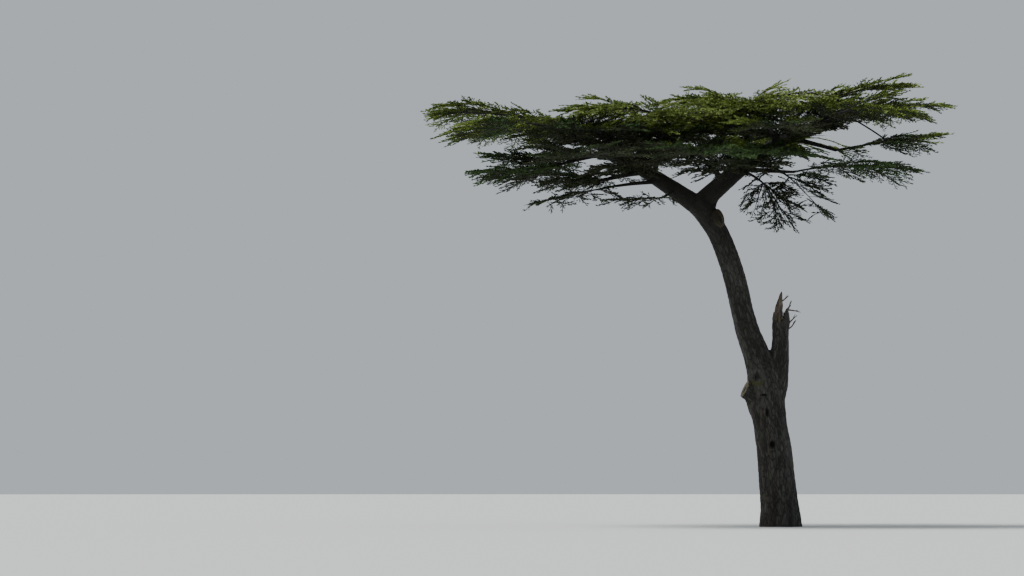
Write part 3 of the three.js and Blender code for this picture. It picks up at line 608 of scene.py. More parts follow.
class Limb:
    """A limb's curve and radius, with its samples and their frames."""

    def __init__(self, curve, radius, samples, plate=None):
        self.curve = curve
        self.radius = radius
        self.plate = plate
        self.t = np.linspace(0, 1, samples)
        self.points = curve(self.t)
        self.radii = radius(self.t)
        self.ways, self.across, self.beside = frames_along(self.points)
        steps = np.linalg.norm(np.diff(self.points, axis=0), axis=1)
        self.run = np.concatenate([[0], np.cumsum(steps)])


def frames_along(points):
    """Directions and cross directions that follow a line of points without twisting."""
    ways = unit(np.gradient(points, axis=0))
    aside = NORTH if abs(ways[0][2]) > UPRIGHT else UP
    across = np.empty_like(points)
    turned = np.cross(aside, ways[0])
    for i, way in enumerate(ways):
        turned = unit(turned - way * turned.dot(way))
        across[i] = turned
    return ways, across, np.cross(across, ways)


def grow_limbs():
    """Every limb by name, grown by the same rule as the frame's own solids."""
    limbs = {
        name: Limb(station_curve(stations), station_radius(stations), SAMPLES[name])
        for name, stations in (("trunk", TRUNK), ("broken_stem", BROKEN_STEM))
    }
    trunk = limbs["trunk"].curve
    for name, at, plan, run, rise, arch, radius, tip, plate in MAIN_BOUGHS:
        curve = bough_curve(trunk(at), plan, run, rise, arch)
        limbs[name] = Limb(curve, bough_radius(radius, tip, 0), SAMPLES["main_bough"], plate)
    for name, parent, at, plan, run, rise, arch, radius, plate in BOUGHS:
        curve = bough_curve(limbs[parent].curve(at), plan, run, rise, arch)
        girth = bough_radius(radius, radius * BOUGH_TIP, COLLAR["swell"])
        limbs[name] = Limb(curve, girth, SAMPLES["side_bough"], plate)
    points = trunk(np.linspace(0, 1, SAMPLES["search"]))
    for name, height, plan, rise, length, radius, face in SAWN_STUBS:
        foot = points[np.argmax(points[:, 2] >= height)]
        tip = foot + heading(plan, rise) * length
        curve = bough_curve(foot, plan, *leaning(tip - foot), 0)
        limbs[name] = Limb(curve, bough_radius(radius, face, 0), SAMPLES["stub"])
    return limbs


LIMBS = grow_limbs()


class Skin:
    """Points and faces gathered from many parts, for one mesh."""

    def __init__(self):
        self.points = []
        self.faces = []
        self.count = 0

    def add(self, points, faces):
        """points is (n, 3), and each of faces an array whose rows are the corners of a face."""
        self.points.append(np.asarray(points, float).reshape(-1, 3))
        self.faces += [np.asarray(f) + self.count for f in faces]
        self.count += len(self.points[-1])

    def build(self, name):
        """The gathered mesh as a new object."""
        mesh = bpy.data.meshes.new(name)
        points = np.concatenate(self.points)
        corners = np.concatenate([f.ravel() for f in self.faces])
        sizes = np.concatenate([np.full(len(f), f.shape[1]) for f in self.faces])
        mesh.vertices.add(len(points))
        mesh.vertices.foreach_set("co", points.astype(np.float32).ravel())
        mesh.loops.add(len(corners))
        mesh.loops.foreach_set("vertex_index", corners.astype(np.int32))
        mesh.polygons.add(len(sizes))
        mesh.polygons.foreach_set("loop_start", (np.cumsum(sizes) - sizes).astype(np.int32))
        mesh.update(calc_edges=True)
        piece = bpy.data.objects.new(name, mesh)
        bpy.context.scene.collection.objects.link(piece)
        return piece


def ring_faces(rings, sides):
    """The four-cornered faces between rings of points."""
    i = np.arange(rings - 1)[:, None] * sides
    j = np.arange(sides)[None, :]
    k = (j + 1) % sides
    return np.stack([i + j, i + j + sides, i + k + sides, i + k], -1).reshape(-1, 4)


def round_angles(sides):
    """Equal steps round a circle."""
    return np.arange(sides) * 2 * math.pi / sides


def around(across, beside, angles):
    """Directions at each of the angles round each of the frames."""
    return np.cos(angles)[None, :, None] * across[:, None] + np.sin(angles)[None, :, None] * beside[:, None]


def sweep(skin, points, radii, sides, caps=(True, True), frames=None):
    """A tube along points. radii is (n,) or (n, sides)."""
    _, across, beside = frames or frames_along(points)
    radii = np.broadcast_to(np.asarray(radii, float).reshape(len(points), -1), (len(points), sides))
    rings = points[:, None] + around(across, beside, round_angles(sides)) * radii[:, :, None]
    rows, faces = [rings.reshape(-1, 3)], [ring_faces(len(points), sides)]
    count = len(points) * sides
    j = np.arange(sides)
    for end, ring in ((0, j), (1, j[::-1] + count - sides)):
        if caps[end]:
            rows.append(points[-end][None])
            faces.append(np.stack([ring, np.roll(ring, -1), np.full(sides, count)], -1))
            count += 1
    skin.add(np.concatenate(rows), faces)


def oval(name, angles):
    """A stub's radii round its section, as shares of its round radius."""
    wide, high = STUB_OVALS[name]
    return 1 / np.hypot(np.cos(angles) / wide, np.sin(angles) / high)


def flared(limb, angles):
    """The trunk's radii by height and angle, with its buttresses."""
    height = np.maximum(0, limb.points[:, 2])
    flare = column(FLARE["depth"] * np.exp(-((height / FLARE["height"]) ** 2)))
    return column(limb.radii) * (1 + flare * (FLARE["swell"] + np.cos(FLARE["lobes"] * angles)[None, :]))


def mesh_points(mesh, what="co"):
    """The places or the normals of a mesh's points."""
    values = np.empty(len(mesh.vertices) * 3, np.float32)
    mesh.vertices.foreach_get(what, values)
    return values.reshape(-1, 3).astype(float)


def move_points(mesh, points):
    """Sets the places of a mesh's points."""
    mesh.vertices.foreach_set("co", points.astype(np.float32).ravel())
    mesh.update()


def raise_points(mesh, heights):
    """Moves each point along its normal."""
    move_points(mesh, mesh_points(mesh) + mesh_points(mesh, "normal") * column(heights))


def store(mesh, name, values):
    """A number or a direction for each vertex, for the materials to read."""
    kind = "FLOAT" if values.ndim == 1 else "FLOAT_VECTOR"
    layer = mesh.attributes.new(name, kind, "POINT")
    layer.data.foreach_set("value" if values.ndim == 1 else "vector", values.astype(np.float32).ravel())


def limb_places(points, names):
    """Where points lie on the nearest of the limbs: across, beside and along it, in metres."""
    limbs = [LIMBS[name] for name in names]
    centres, radii, across, beside, ways = (
        np.concatenate([getattr(limb, key) for limb in limbs])
        for key in ("points", "radii", "across", "beside", "ways")
    )
    runs = np.concatenate([limb.run for limb in limbs])
    places = np.empty_like(points)
    for start in range(0, len(points), BLOCK):
        some = points[start : start + BLOCK]
        far = np.sum(some**2, 1)[:, None] + np.sum(centres**2, 1)[None] - 2 * some @ centres.T
        best = np.argmin(np.sqrt(np.maximum(far, 0)) - radii[None], axis=1)
        offset = some - centres[best]
        places[start : start + BLOCK] = np.stack(
            [
                np.sum(offset * across[best], 1),
                np.sum(offset * beside[best], 1),
                runs[best] + np.sum(offset * ways[best], 1),
            ],
            -1,
        )
    return places


def noise_at(places, scale):
    """Smooth noise from -1 to 1 at each place, scaled by three numbers."""
    scaled = places * np.asarray(scale)
    return np.array([noise.noise(Vector(p)) for p in scaled])


def cracks_at(places, scale):
    """How far each place is from the cracks between cells, from 0 in a crack."""
    scaled = places * np.asarray(scale)
    near = np.array([noise.voronoi(Vector(p))[0][:2] for p in scaled])
    return near[:, 1] - near[:, 0]


def bark_relief(places, depth):
    """Flutes and ribs that run along the limb, plates between cracks, and fine lumps."""
    relief = np.zeros(len(places))
    for form, (scale, share) in RELIEF.items():
        if form == "plates":
            height = np.clip(cracks_at(places, scale) / CRACK["width"], 0, 1) - CRACK["level"]
        else:
            height = noise_at(places, scale)
        relief += share * height
    return depth * relief


def numbers(name, text, default, low, high, unit="NONE"):
    """A number or a size that the user can change."""
    return FloatProperty(name=name, description=text, default=default, min=low, max=high, unit=unit)


def colour(name, text, default):
    """A colour that the user can change."""
    return FloatVectorProperty(
        name=name, description=text, default=default, subtype="COLOR", size=3, min=0, max=1
    )


class CedarBark(bpy.types.PropertyGroup):
    """Sizes and colours of the bark and the bare wood."""

    voxel: numbers("Face size", "Size of the faces of the trunk's mesh", 0.036, 0.02, 0.1, "LENGTH")
    relief: numbers("Relief", "Depth of the bark's flutes and plates", 0.022, 0.0, 0.08, "LENGTH")
    plate: colour("Plates", "Colour of the bark's raised plates", (0.031, 0.031, 0.027))
    # Ruddy patches at random are the bark's own; this colour is also painted light on the trunk's left side.
    ruddy: colour("Ruddy plates", "Colour of the plates that have shed their grey", (0.052, 0.036, 0.029))
    weathered: colour("Weathered plates", "Colour of the palest plates", (0.075, 0.074, 0.066))
    # The cracks' colour is also the painted shade of the bark inside the crown.
    crack: colour("Cracks", "Colour of the cracks between the plates", (0.012, 0.011, 0.009))
    lichen: colour("Lichen", "Colour of the lichen patches", (0.070, 0.078, 0.058))
    moss: colour("Moss", "Colour of the moss by the low stub", (0.050, 0.050, 0.019))
    worn: colour("Worn bark", "Colour of the torn and worn bark", (0.085, 0.082, 0.076))
    # Painted shade: the near-black colour inside the hollows.
    hollow: colour("Hollows", "Colour inside the hollows", (0.004, 0.004, 0.003))
    bare: colour("Bare wood", "Colour of the weathered broken wood", (0.19, 0.155, 0.105))
    fibre: colour("Wood fibre", "Colour of the broken wood between its extremes", (0.09, 0.075, 0.055))
    rotten: colour("Rotten wood", "Colour of the broken wood's dark grain", (0.035, 0.028, 0.021))
    sawn: colour("Sawn wood", "Colour of the sawn faces", (0.20, 0.18, 0.115))
    ring: colour("Growth rings", "Colour of the dark rings on the sawn faces", (0.12, 0.10, 0.065))
    stain: colour("Stain", "Colour of the stains on the sawn faces", (0.07, 0.05, 0.034))
    # Painted shade: the sawn wood inside the crown.
    dark_sawn: colour("Shaded sawn wood", "Colour of the sawn wood inside the crown", (0.022, 0.015, 0.008))
    break_seed: IntProperty(name="Break seed", description="Seed of the rule for slivers", default=5, min=0)


class CedarFoliage(bpy.types.PropertyGroup):
    """Sizes and colours of the twigs and needles."""

    seed: IntProperty(name="Seed", description="Start of the seeded rule", default=7, min=0)
    branch_gap: numbers("Branch spacing", "Run of stem for each branch", 0.30, 0.1, 2.0, "LENGTH")
    shoot_gap: numbers("Shoot spacing", "Run of branch for each shoot", 0.19, 0.05, 1.0, "LENGTH")
    shoot_length: numbers("Shoot length", "Length of the longest shoots", 1.1, 0.1, 2.0, "LENGTH")
    side_shoot_gap: numbers("Side shoot spacing", "Run of shoot for each one", 0.15, 0.02, 0.5, "LENGTH")
    feather_width: numbers("Feather width", "Longest side shoot as a share of its shoot", 0.42, 0.05, 1.0)
    tuft_gap: numbers("Tuft spacing", "Run of shoot for each tuft of needles", 0.074, 0.02, 0.3, "LENGTH")
    needle_length: numbers("Needle length", "Length of a needle", 0.14, 0.01, 0.3, "LENGTH")
    needle_width: numbers("Needle width", "Width of a needle", 0.043, 0.001, 0.05, "LENGTH")
    needles: IntProperty(name="Needles", description="Needles in each tuft", default=2, min=2, max=20)
    # Painted light and shade: each colour below is a lit or shaded copy of the needles' green, dealt to
    # sprays by their painted tone.
    bright: colour("Bright", "Colour of the sprays that catch the most light", (0.225, 0.285, 0.080))
    sunlit: colour("Sunlit", "Colour of the highest sprays", (0.148, 0.198, 0.040))
    fresh: colour("Fresh", "Colour of the upper sprays", (0.078, 0.114, 0.014))
    green: colour("Green", "Colour of the middle sprays", (0.050, 0.073, 0.013))
    deep: colour("Deep", "Colour of the lower sprays", (0.035, 0.049, 0.019))
    cool: colour("Cool", "Colour of the lit sprays low in the crown", (0.048, 0.086, 0.027))
    shaded: colour("Shaded", "Colour of the sprays under the plates", (0.042, 0.050, 0.026))


class CedarStage(bpy.types.PropertyGroup):
    """The camera, the floor and the light."""

    lens: numbers("Lens", "Focal length in millimetres", 100.0, 20.0, 300.0)
    pitch: numbers("Pitch", "How far the camera looks up", math.radians(4.02), -1.0, 1.0, "ROTATION")
    key: numbers("Key light", "Strength of the soft light from above", 4.4, 0.0, 20.0)
    softness: numbers("Softness", "How wide the soft light is", math.radians(25), 0.0, 3.0, "ROTATION")
    fill: numbers("Fill light", "Strength of the light from the sky", 0.8, 0.0, 5.0)
    sky: colour("Sky", "Colour of the plain background", (0.60, 0.64, 0.69))
    floor: colour("Floor", "Colour of the plain floor", (0.55, 0.56, 0.54))


def wear(piece, material, slot, *nodes):
    """Gives a piece its finish and its place in the frame."""
    piece.data.materials.append(material)
    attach(piece, "root")
    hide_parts(*nodes)


class Nodes:
    """A material's nodes, made and linked in few words."""

    def __init__(self, name, roughness, gloss=0.25):
        self.material = bpy.data.materials.new(name)
        self.material.use_nodes = True
        self.tree = self.material.node_tree
        self.shader = self.tree.nodes["Principled BSDF"]
        self.shader.inputs["Roughness"].default_value = roughness
        self.shader.inputs["Specular IOR Level"].default_value = gloss

    def add(self, kind, **inputs):
        """A node of a kind. An input is set to a value, or linked to a socket."""
        node = self.tree.nodes.new("ShaderNode" + kind)
        for name, value in inputs.items():
            self.feed(node.inputs[name], value)
        return node

    def feed(self, socket, value):
        """Links a socket, or sets it to a number, a vector or a colour."""
        if isinstance(value, bpy.types.NodeSocket):
            self.tree.links.new(value, socket)
        elif socket.type == "RGBA":
            socket.default_value = (*value, 1)
        else:
            socket.default_value = value

    def attribute(self, name):
        """A stored number or direction of the piece's points."""
        node = self.add("Attribute")
        node.attribute_name = name
        return node

    def share(self, name):
        """A stored number, for use as a share."""
        return self.attribute(name).outputs["Fac"]

    def place(self, along):
        """The place on the bark, with the way along the limb drawn out."""
        place = self.attribute("bark_place").outputs["Vector"]
        return self.add("Mapping", Vector=place, Scale=(1, 1, along)).outputs[0]

    def noise(self, place, scale, detail=3.0):
        """Cloudy greys."""
        return self.add("TexNoise", Vector=place, Scale=scale, Detail=detail).outputs["Fac"]

    def ramp(self, value, *stops):
        """Colours or greys by value: each stop is a place and a colour."""
        node = self.add("ValToRGB", Fac=value)
        elements = node.color_ramp.elements
        while len(elements) < len(stops):
            elements.new(0.5)
        for element, (place, tone) in zip(elements, stops):
            element.position = place
            element.color = (*tone, 1) if hasattr(tone, "__len__") else (tone, tone, tone, 1)
        return node.outputs["Color"]

    def layers(self, surface, *layers):
        """Colours laid over a surface in turn: each layer is a share and a colour."""
        for share, tint in layers:
            node = self.add("Mix")
            node.data_type = "RGBA"
            factor, below, above = (node.inputs[i] for i in (0, 6, 7))
            self.feed(factor, share)
            self.feed(below, surface)
            self.feed(above, tint)
            surface = node.outputs[2]
        return surface

    def maths(self, how, *values, kind="Math"):
        """A sum or a product of numbers or vectors."""
        node = self.add(kind)
        node.operation = how
        for socket, value in zip(node.inputs, values):
            self.feed(socket, value)
        return node.outputs[0]

    def finish(self, surface, height, strength, distance):
        """The material with its surface colour and its bump."""
        self.feed(self.shader.inputs["Base Color"], surface)
        bump = self.add("Bump", Height=height, Strength=strength, Distance=distance)
        self.feed(self.shader.inputs["Normal"], bump.outputs[0])
        return self.material


def bark_material(colours):
    """Grey plates between dark cracks, with reddish, lichened and mossy places, painted light that makes the
    left side ruddier, and painted shade inside the crown and in the hollows.
    """
    n = Nodes("bark", roughness=0.9)
    # Cells of bark with warped edges, and the cracks between them.
    place = n.place(0.3)
    warp = n.add("TexNoise", Vector=place, Scale=6.0, Detail=2.0).outputs["Color"]
    shift = n.maths("MULTIPLY", warp, (0.12, 0.12, 0.12), kind="VectorMath")
    bent = n.maths("ADD", place, shift, kind="VectorMath")
    cells, edges = (n.add("TexVoronoi", Vector=bent, Scale=9.0) for _ in range(2))
    edges.feature = "DISTANCE_TO_EDGE"
    raised = n.ramp(edges.outputs["Distance"], (0.0, 0.1), (0.16, 1.0))
    each = n.add("SeparateColor", Color=cells.outputs["Color"])
    # The plates differ from cell to cell, and have a fine grain.
    grain = n.noise(n.place(0.12), 38.0)
    # Reddish patches at random, the bark's own, with painted light on the trunk's left side added.
    ruddy = n.maths("ADD", n.maths("MULTIPLY", n.noise(place, 2.2), 0.8), n.share("ruddy"))
    plates = n.layers(
        colours.plate,
        (n.ramp(ruddy, (0.5, 0.0), (0.85, 1.0)), colours.ruddy),
        (n.ramp(each.outputs[0], (0.2, 0.0), (1.0, 0.8)), colours.weathered),
        (n.ramp(each.outputs[1], (0.45, 0.0), (1.0, 0.75)), colours.crack),
        (n.ramp(grain, (0.35, 0.0), (0.75, 0.6)), colours.weathered),
    )
    # Over the cracks and plates lie dark and pale streaks, lichen and the stored marks, among them painted
    # shade inside the crown and in the hollows.
    streaks = n.noise(n.place(0.16), 3.4, 6.0)
    surface = n.layers(
        colours.crack,
        (raised, plates),
        (n.ramp(streaks, (0.48, 0.0), (0.62, 0.6)), colours.crack),
        (n.ramp(streaks, (0.30, 0.5), (0.42, 0.0)), colours.weathered),
        (n.ramp(n.noise(place, 6.5, 5.0), (0.57, 0.0), (0.66, 0.4)), colours.lichen),
        # Painted shade: inside the crown the bark darkens to the cracks' colour.
        (n.share("shaded"), colours.crack),
        (n.share("worn"), colours.worn),
        (n.share("mossy"), colours.moss),
        # Painted shade: near black inside the hollows.
        (n.share("hollow"), colours.hollow),
    )
    height = n.maths("ADD", n.maths("MULTIPLY", raised, 0.7), n.maths("MULTIPLY", grain, 0.5))
    return n.finish(surface, height, strength=0.8, distance=0.03)


def broken_material(colours):
    """Weathered wood in long fibres, tan to nearly black."""
    n = Nodes("broken_wood", roughness=0.82)
    fibres = n.noise(n.place(0.06), 42.0, 4.0)
    patches = n.noise(n.place(0.5), 5.0)
    tone = n.maths("ADD", n.maths("MULTIPLY", fibres, 0.75), n.maths("MULTIPLY", patches, 0.4))
    surface = n.ramp(tone, (0.4, colours.rotten), (0.6, colours.fibre), (0.78, colours.bare))
    return n.finish(surface, fibres, strength=0.8, distance=0.02)


def sawn_material(colours):
    """End grain: rings round the pith, with stains and painted shade of the crown."""
    n = Nodes("sawn_wood", roughness=0.75)
    place = n.place(0)
    waves = n.add("TexWave", Vector=place, Scale=14.0, Distortion=2.5, Detail=3.0)
    waves.wave_type = "RINGS"
    waves.rings_direction = "Z"
    rings = waves.outputs["Fac"]
    surface = n.layers(
        colours.sawn,
        (n.ramp(rings, (0.2, 0.0), (0.8, 0.5)), colours.ring),
        (n.ramp(n.noise(place, 5.0, 4.0), (0.42, 0.0), (0.7, 0.7)), colours.stain),
        (n.share("shaded"), colours.dark_sawn),
    )
    return n.finish(surface, rings, strength=0.4, distance=0.01)


def twig_material(colours):
    """The bark's plates, darker and paler by turns."""
    n = Nodes("twig_bark", roughness=0.85)
    place = n.add("TexCoord").outputs["Object"]
    dark, pale = ([share * part for part in colours.plate] for share in (0.45, 1.1))
    surface = n.layers(dark, (n.noise(place, 6.0), pale))
    return n.finish(surface, n.noise(place, 40.0), strength=0.3, distance=0.004)


def plain_material(name, tint, roughness, gloss):
    """One colour all over."""
    n = Nodes(name, roughness, gloss)
    n.feed(n.shader.inputs["Base Color"], tint)
    return n.material


def patch(points, x, height, wide, high):
    """How far each point is from a mark's middle, in half sizes. Points at the back are far."""
    away = np.hypot((points[:, 0] - x) / wide, (points[:, 2] - height) / high)
    return np.where(points[:, 1] < 0, away, OUT_OF_REACH)


def fused(skin, name, voxel):
    """One closed mesh from overlapping tubes, with the joins eased."""
    piece = skin.build(name)
    remesh = piece.modifiers.new("Fuse", "REMESH")
    remesh.mode = "VOXEL"
    remesh.voxel_size = voxel
    ease = piece.modifiers.new("Ease", "SMOOTH")
    ease.factor = EASE["factor"]
    ease.iterations = EASE["rounds"]
    graph = bpy.context.evaluated_depsgraph_get()
    rough, eased = piece.data, bpy.data.meshes.new_from_object(piece.evaluated_get(graph))
    piece.modifiers.clear()
    piece.data = eased
    bpy.data.meshes.remove(rough)
    return piece


def roughen(piece, names, depth):
    """Raises the bark's relief, less on thin limbs, and stores each point's place."""
    mesh = piece.data
    places = limb_places(mesh_points(mesh), names)
    girth = np.hypot(places[:, 0], places[:, 1]) / THIN_LIMB["girth"]
    raise_points(mesh, bark_relief(places, depth) * np.clip(girth, THIN_LIMB["least"], 1))
    store(mesh, "bark_place", places)
    return places


def flat_cut(mesh):
    """Cuts the mesh off at the ground, with one flat face."""
    work = bmesh.new()
    work.from_mesh(mesh)
    everything = work.verts[:] + work.edges[:] + work.faces[:]
    cut = bmesh.ops.bisect_plane(work, geom=everything, plane_no=UP, plane_co=(0, 0, 0), clear_inner=True)
    rim = [e for e in cut["geom_cut"] if isinstance(e, bmesh.types.BMEdge)]
    bmesh.ops.contextual_create(work, geom=rim)
    work.to_mesh(mesh)
    work.free()


def crown_shade(points):
    """How far painted shade darkens the bark: not at all low down, and fully inside the crown."""
    share = np.clip((points[:, 2] - CROWN_SHADE["from"]) / CROWN_SHADE["over"], 0, 1)
    return share**2 * (3 - 2 * share) * CROWN_SHADE["most"]


def over_break(points, reach):
    """How high points stand over the break of the second stem, and which are within reach."""
    offset = points - LIMBS["broken_stem"].points[-1]
    return offset[:, 2], np.hypot(offset[:, 0], offset[:, 1]) < reach


def torn(points):
    """How far the bark's top is torn up or down, near the break of the second stem."""
    height, close = over_break(points, RAGGED_BREAK["reach"])
    share = np.clip(1 - np.abs(height) / RAGGED_BREAK["near"], 0, 1) * close
    return share * RAGGED_BREAK["depth"] * noise_at(points, RAGGED_BREAK["grain"])


def worn_rim(points):
    """How worn the bark is at the break of the second stem, from 0 to 1."""
    height, close = over_break(points, WORN_RIM["reach"])
    near = np.clip((height + WORN_RIM["below"]) / WORN_RIM["over"], 0, 1) * close
    uneven = WORN_RIM["uneven"] * noise_at(points, WORN_RIM["grain"])
    return near * np.clip(WORN_RIM["least"] + uneven, 0, 1)


def body_skin():
    """Tubes along the trunk, its limbs and stubs, and the first part of each side bough."""
    skin = Skin()
    trunk = LIMBS["trunk"]
    frames = (trunk.ways, trunk.across, trunk.beside)
    sweep(skin, trunk.points, flared(trunk, round_angles(SIDES["trunk"])), SIDES["trunk"], frames=frames)
    for name in BODY_LIMBS[1:]:
        limb = LIMBS[name]
        radii = limb.radii
        if name in STUB_OVALS:
            radii = column(radii) * oval(name, round_angles(SIDES["limb"]))
        sweep(skin, limb.points, radii, SIDES["limb"])
    stem = LIMBS["broken_stem"]
    t = np.linspace(0, 1, RINGS["swell"])
    foot = bezier(*np.array(STEM_FOOT), stem.points[0], t)
    sweep(skin, foot, mix(STEM_FOOT_RADIUS, stem.radii[0], t), SIDES["limb"])
    for points, radii in BARK_SWELLS:
        sweep(skin, bezier(*np.array(points), t), np.interp(t, (0, 0.5, 1), radii), SIDES["swell"])
    for name in SIDE_BOUGHS:
        limb = LIMBS[name]
        near = limb.t < JOINED
        sweep(skin, limb.points[near], limb.radii[near], SIDES["collar"])
    return skin


def hollow_marks(points):
    """How dark the painted shade of each point in a hollow is, how far it is pushed in, and how much lip it
    has.
    """
    hollow, inwards, lips = (np.zeros(len(points)) for _ in range(3))
    for x, height, wide, high, depth, lip, dark in HOLLOWS:
        away = patch(points, x, height, wide, high)
        raised = np.exp(-(((away - LIP["at"]) / LIP["width"]) ** 2))
        inwards += depth * np.exp(-(away**4)) - lip * raised
        hollow = np.maximum(hollow, dark * np.exp(-((away / HOLLOW_DARK) ** 6)))
        lips = np.maximum(lips, raised * (points[:, 2] > height))
    return hollow, inwards, lips


def store_marks(mesh, points, places, lips):
    """Stores where painted shade darkens the bark, and where it is mossy, worn, and ruddier with painted
    light on its left side.
    """
    store(mesh, "shaded", crown_shade(points))
    uneven = noise_at(points, SCAR["grain"])
    away = patch(points, *SCAR_RING) - 1 + SCAR["uneven"] * uneven
    ring = np.exp(-((away / SCAR["width"]) ** 2))
    edge = SCAR_RING[1] - MOSS_EDGE["below"] + MOSS_EDGE["uneven"] * uneven
    below = np.clip((edge - points[:, 2]) / MOSS_EDGE["fade"], 0, 1)
    store(mesh, "mossy", ring * below)
    pale = np.maximum(LIP["pale"] * lips, SCAR["pale"] * ring * (1 - below))
    store(mesh, "worn", np.maximum(pale, worn_rim(points)))
    # Painted light: the trunk's left side is ruddier, most so low down.
    left = np.clip(RUDDY_LIT_SIDE["from"] - places[:, 0] / RUDDY_LIT_SIDE["over"], 0, 1)
    store(mesh, "ruddy", left * np.clip((RUDDY_LIT_SIDE["top"] - points[:, 2]) / RUDDY_LIT_SIDE["fade"], RUDDY_LIT_SIDE["least"], 1))


def build_body(bark):
    """Trunk, main boughs, the broken stem's bark, the stubs' bark and the boughs' collars."""
    piece = fused(body_skin(), "barked_body", bark.voxel)
    places = roughen(piece, BODY_LIMBS, bark.relief)
    mesh = piece.data
    points = mesh_points(mesh)
    hollow, inwards, lips = hollow_marks(points)
    points[:, 1] += inwards
    points[:, 2] += torn(points)
    move_points(mesh, points)
    store(mesh, "hollow", hollow)
    store_marks(mesh, points, places, lips)
    flat_cut(mesh)
    mesh.shade_smooth()
    return piece


def build_side_boughs(bark):
    """The side boughs, from inside the limb that carries them to their tips."""
    skin = Skin()
    for name in SIDE_BOUGHS:
        limb = LIMBS[name]
        t = np.linspace(SIDE_BOUGH["start"], 1, int(limb.run[-1] / SIDE_BOUGH["ring_gap"]))
        sweep(skin, limb.curve(t), limb.radius(t), SIDES["side_bough"])
    piece = skin.build("side_boughs")
    mesh = piece.data
    roughen(piece, SIDE_BOUGHS, bark.relief)
    for name in ("hollow", "mossy", "worn", "ruddy"):
        store(mesh, name, np.zeros(len(mesh.vertices)))
    store(mesh, "shaded", crown_shade(mesh_points(mesh)))
    mesh.shade_smooth()
    return piece


def add_shard(skin, foot, out, lean, height, half_width, thickness):
    """A stave of torn wood: wide one way, thin along out, and ending in a point."""
    s = np.linspace(0, 1, STAVE["rings"])
    centre = foot + UP * column(s * height) + lean * column(s ** STAVE["lean"])
    grain = np.stack([s * STAVE_GRAIN["along"], s * 0 + height * STAVE_GRAIN["each"], s * 0], -1)
    ragged = 1 + STAVE["ragged"] * noise_at(grain, (1, 1, 1))
    taper = (1 - s) ** STAVE["taper"]
    wide = half_width * taper * ragged * np.clip(STAVE["foot"] + STAVE["widening"] * s, 0, 1)
    angles = round_angles(STAVE["sides"])
    rings = (
        centre[:, None]
        + np.cross(UP, out) * (column(wide) * np.cos(angles))[..., None]
        + out * (column(thickness * taper) * np.sin(angles))[..., None]
    )
    skin.add(rings, [ring_faces(STAVE["rings"], STAVE["sides"])])


def add_sliver(skin, top, plan, random):
    """A thin sliver at the stem's rim, at an angle round it."""
    out = heading(plan)
    foot = top + out * SLIVERS["rim"] * random.uniform(*SLIVERS["place"]) - UP * SLIVERS["sink"]
    height = SLIVERS["height"] + SLIVERS["more_height"] * random.random() ** SLIVERS["few_tall"]
    lean = -out * random.uniform(*SLIVERS["lean"])
    add_shard(skin, foot, out, lean, height, random.uniform(*SLIVERS["half_width"]), SLIVERS["thickness"])


def add_dead_twig(skin, foot, reach, radius, bow):
    """A dead twig that bows up or down on its way, and forks."""
    s = np.linspace(0, 1, DEAD_TWIG["rings"])
    line = foot + reach * column(s) + UP * column(bow * np.sin(s * math.pi))
    sweep(skin, line, radius * (1 - DEAD_TWIG["taper"] * s), DEAD_TWIG["sides"])
    aside = heading(FORK_WAY["plan"]) * FORK_WAY["aside"]
    side = reach * FORK_WAY["reach"] + UP * FORK_WAY["rise"] - aside
    thin = radius * TWIG_FORK["thin"] * (1 - TWIG_FORK["taper"] * s)
    sweep(skin, line[TWIG_FORK["ring"]] + side * column(s), thin, TWIG_FORK["sides"])


def build_broken_top(seed):
    """The torn wood above the break, and its dead twigs."""
    random = np.random.default_rng(seed)
    skin = Skin()
    top = LIMBS["broken_stem"].points[-1]
    for x, y, facing, lean, height, wide, thin in SHARDS:
        foot = top + np.array((x, y, -SHARD_SINK))
        add_shard(skin, foot, heading(facing), np.array(lean), height + SHARD_SINK, wide, thin)
    for k in range(SLIVERS["count"]):
        add_sliver(skin, top, 360 * (k + random.random()) / SLIVERS["count"], random)
    for place, root, foot, length, rise, radius, bow in DEAD_TWIGS:
        start = top + UP * foot + heading(place) * root
        add_dead_twig(skin, start, heading(place, rise) * length, radius, bow)
    piece = skin.build("broken_top")
    places = limb_places(mesh_points(piece.data), ("broken_stem",))
    raise_points(piece.data, sum(noise_at(places, scale) * depth for scale, depth in WOOD_RIDGES))
    store(piece.data, "bark_place", places)
    piece.data.shade_smooth()
    return piece


def add_sawn_face(skin, name):
    """A stub's cut face: a dish of rings, with a skirt that runs back into the bark."""
    limb = LIMBS[name]
    shares = np.linspace(1, SAWN_FACE["innermost"], SAWN_FACE["rings"])
    radii = limb.radii[-1] * (shares * SAWN_FACE["inset"])
    depth = SAWN_DISH["proud"] - SAWN_DISH["deep"] * (1 - shares)
    line = limb.points[-1] + limb.ways[-1] * column(depth)
    line = np.concatenate([line[:1] - limb.ways[-1] * SAWN_DISH["skirt"], line])
    radii = column(np.concatenate([radii[:1], radii])) * oval(name, round_angles(SAWN_FACE["sides"]))
    frames = tuple(np.repeat(a[-1:], len(line), 0) for a in (limb.ways, limb.across, limb.beside))
    sweep(skin, line, radii, SAWN_FACE["sides"], (False, True), frames)


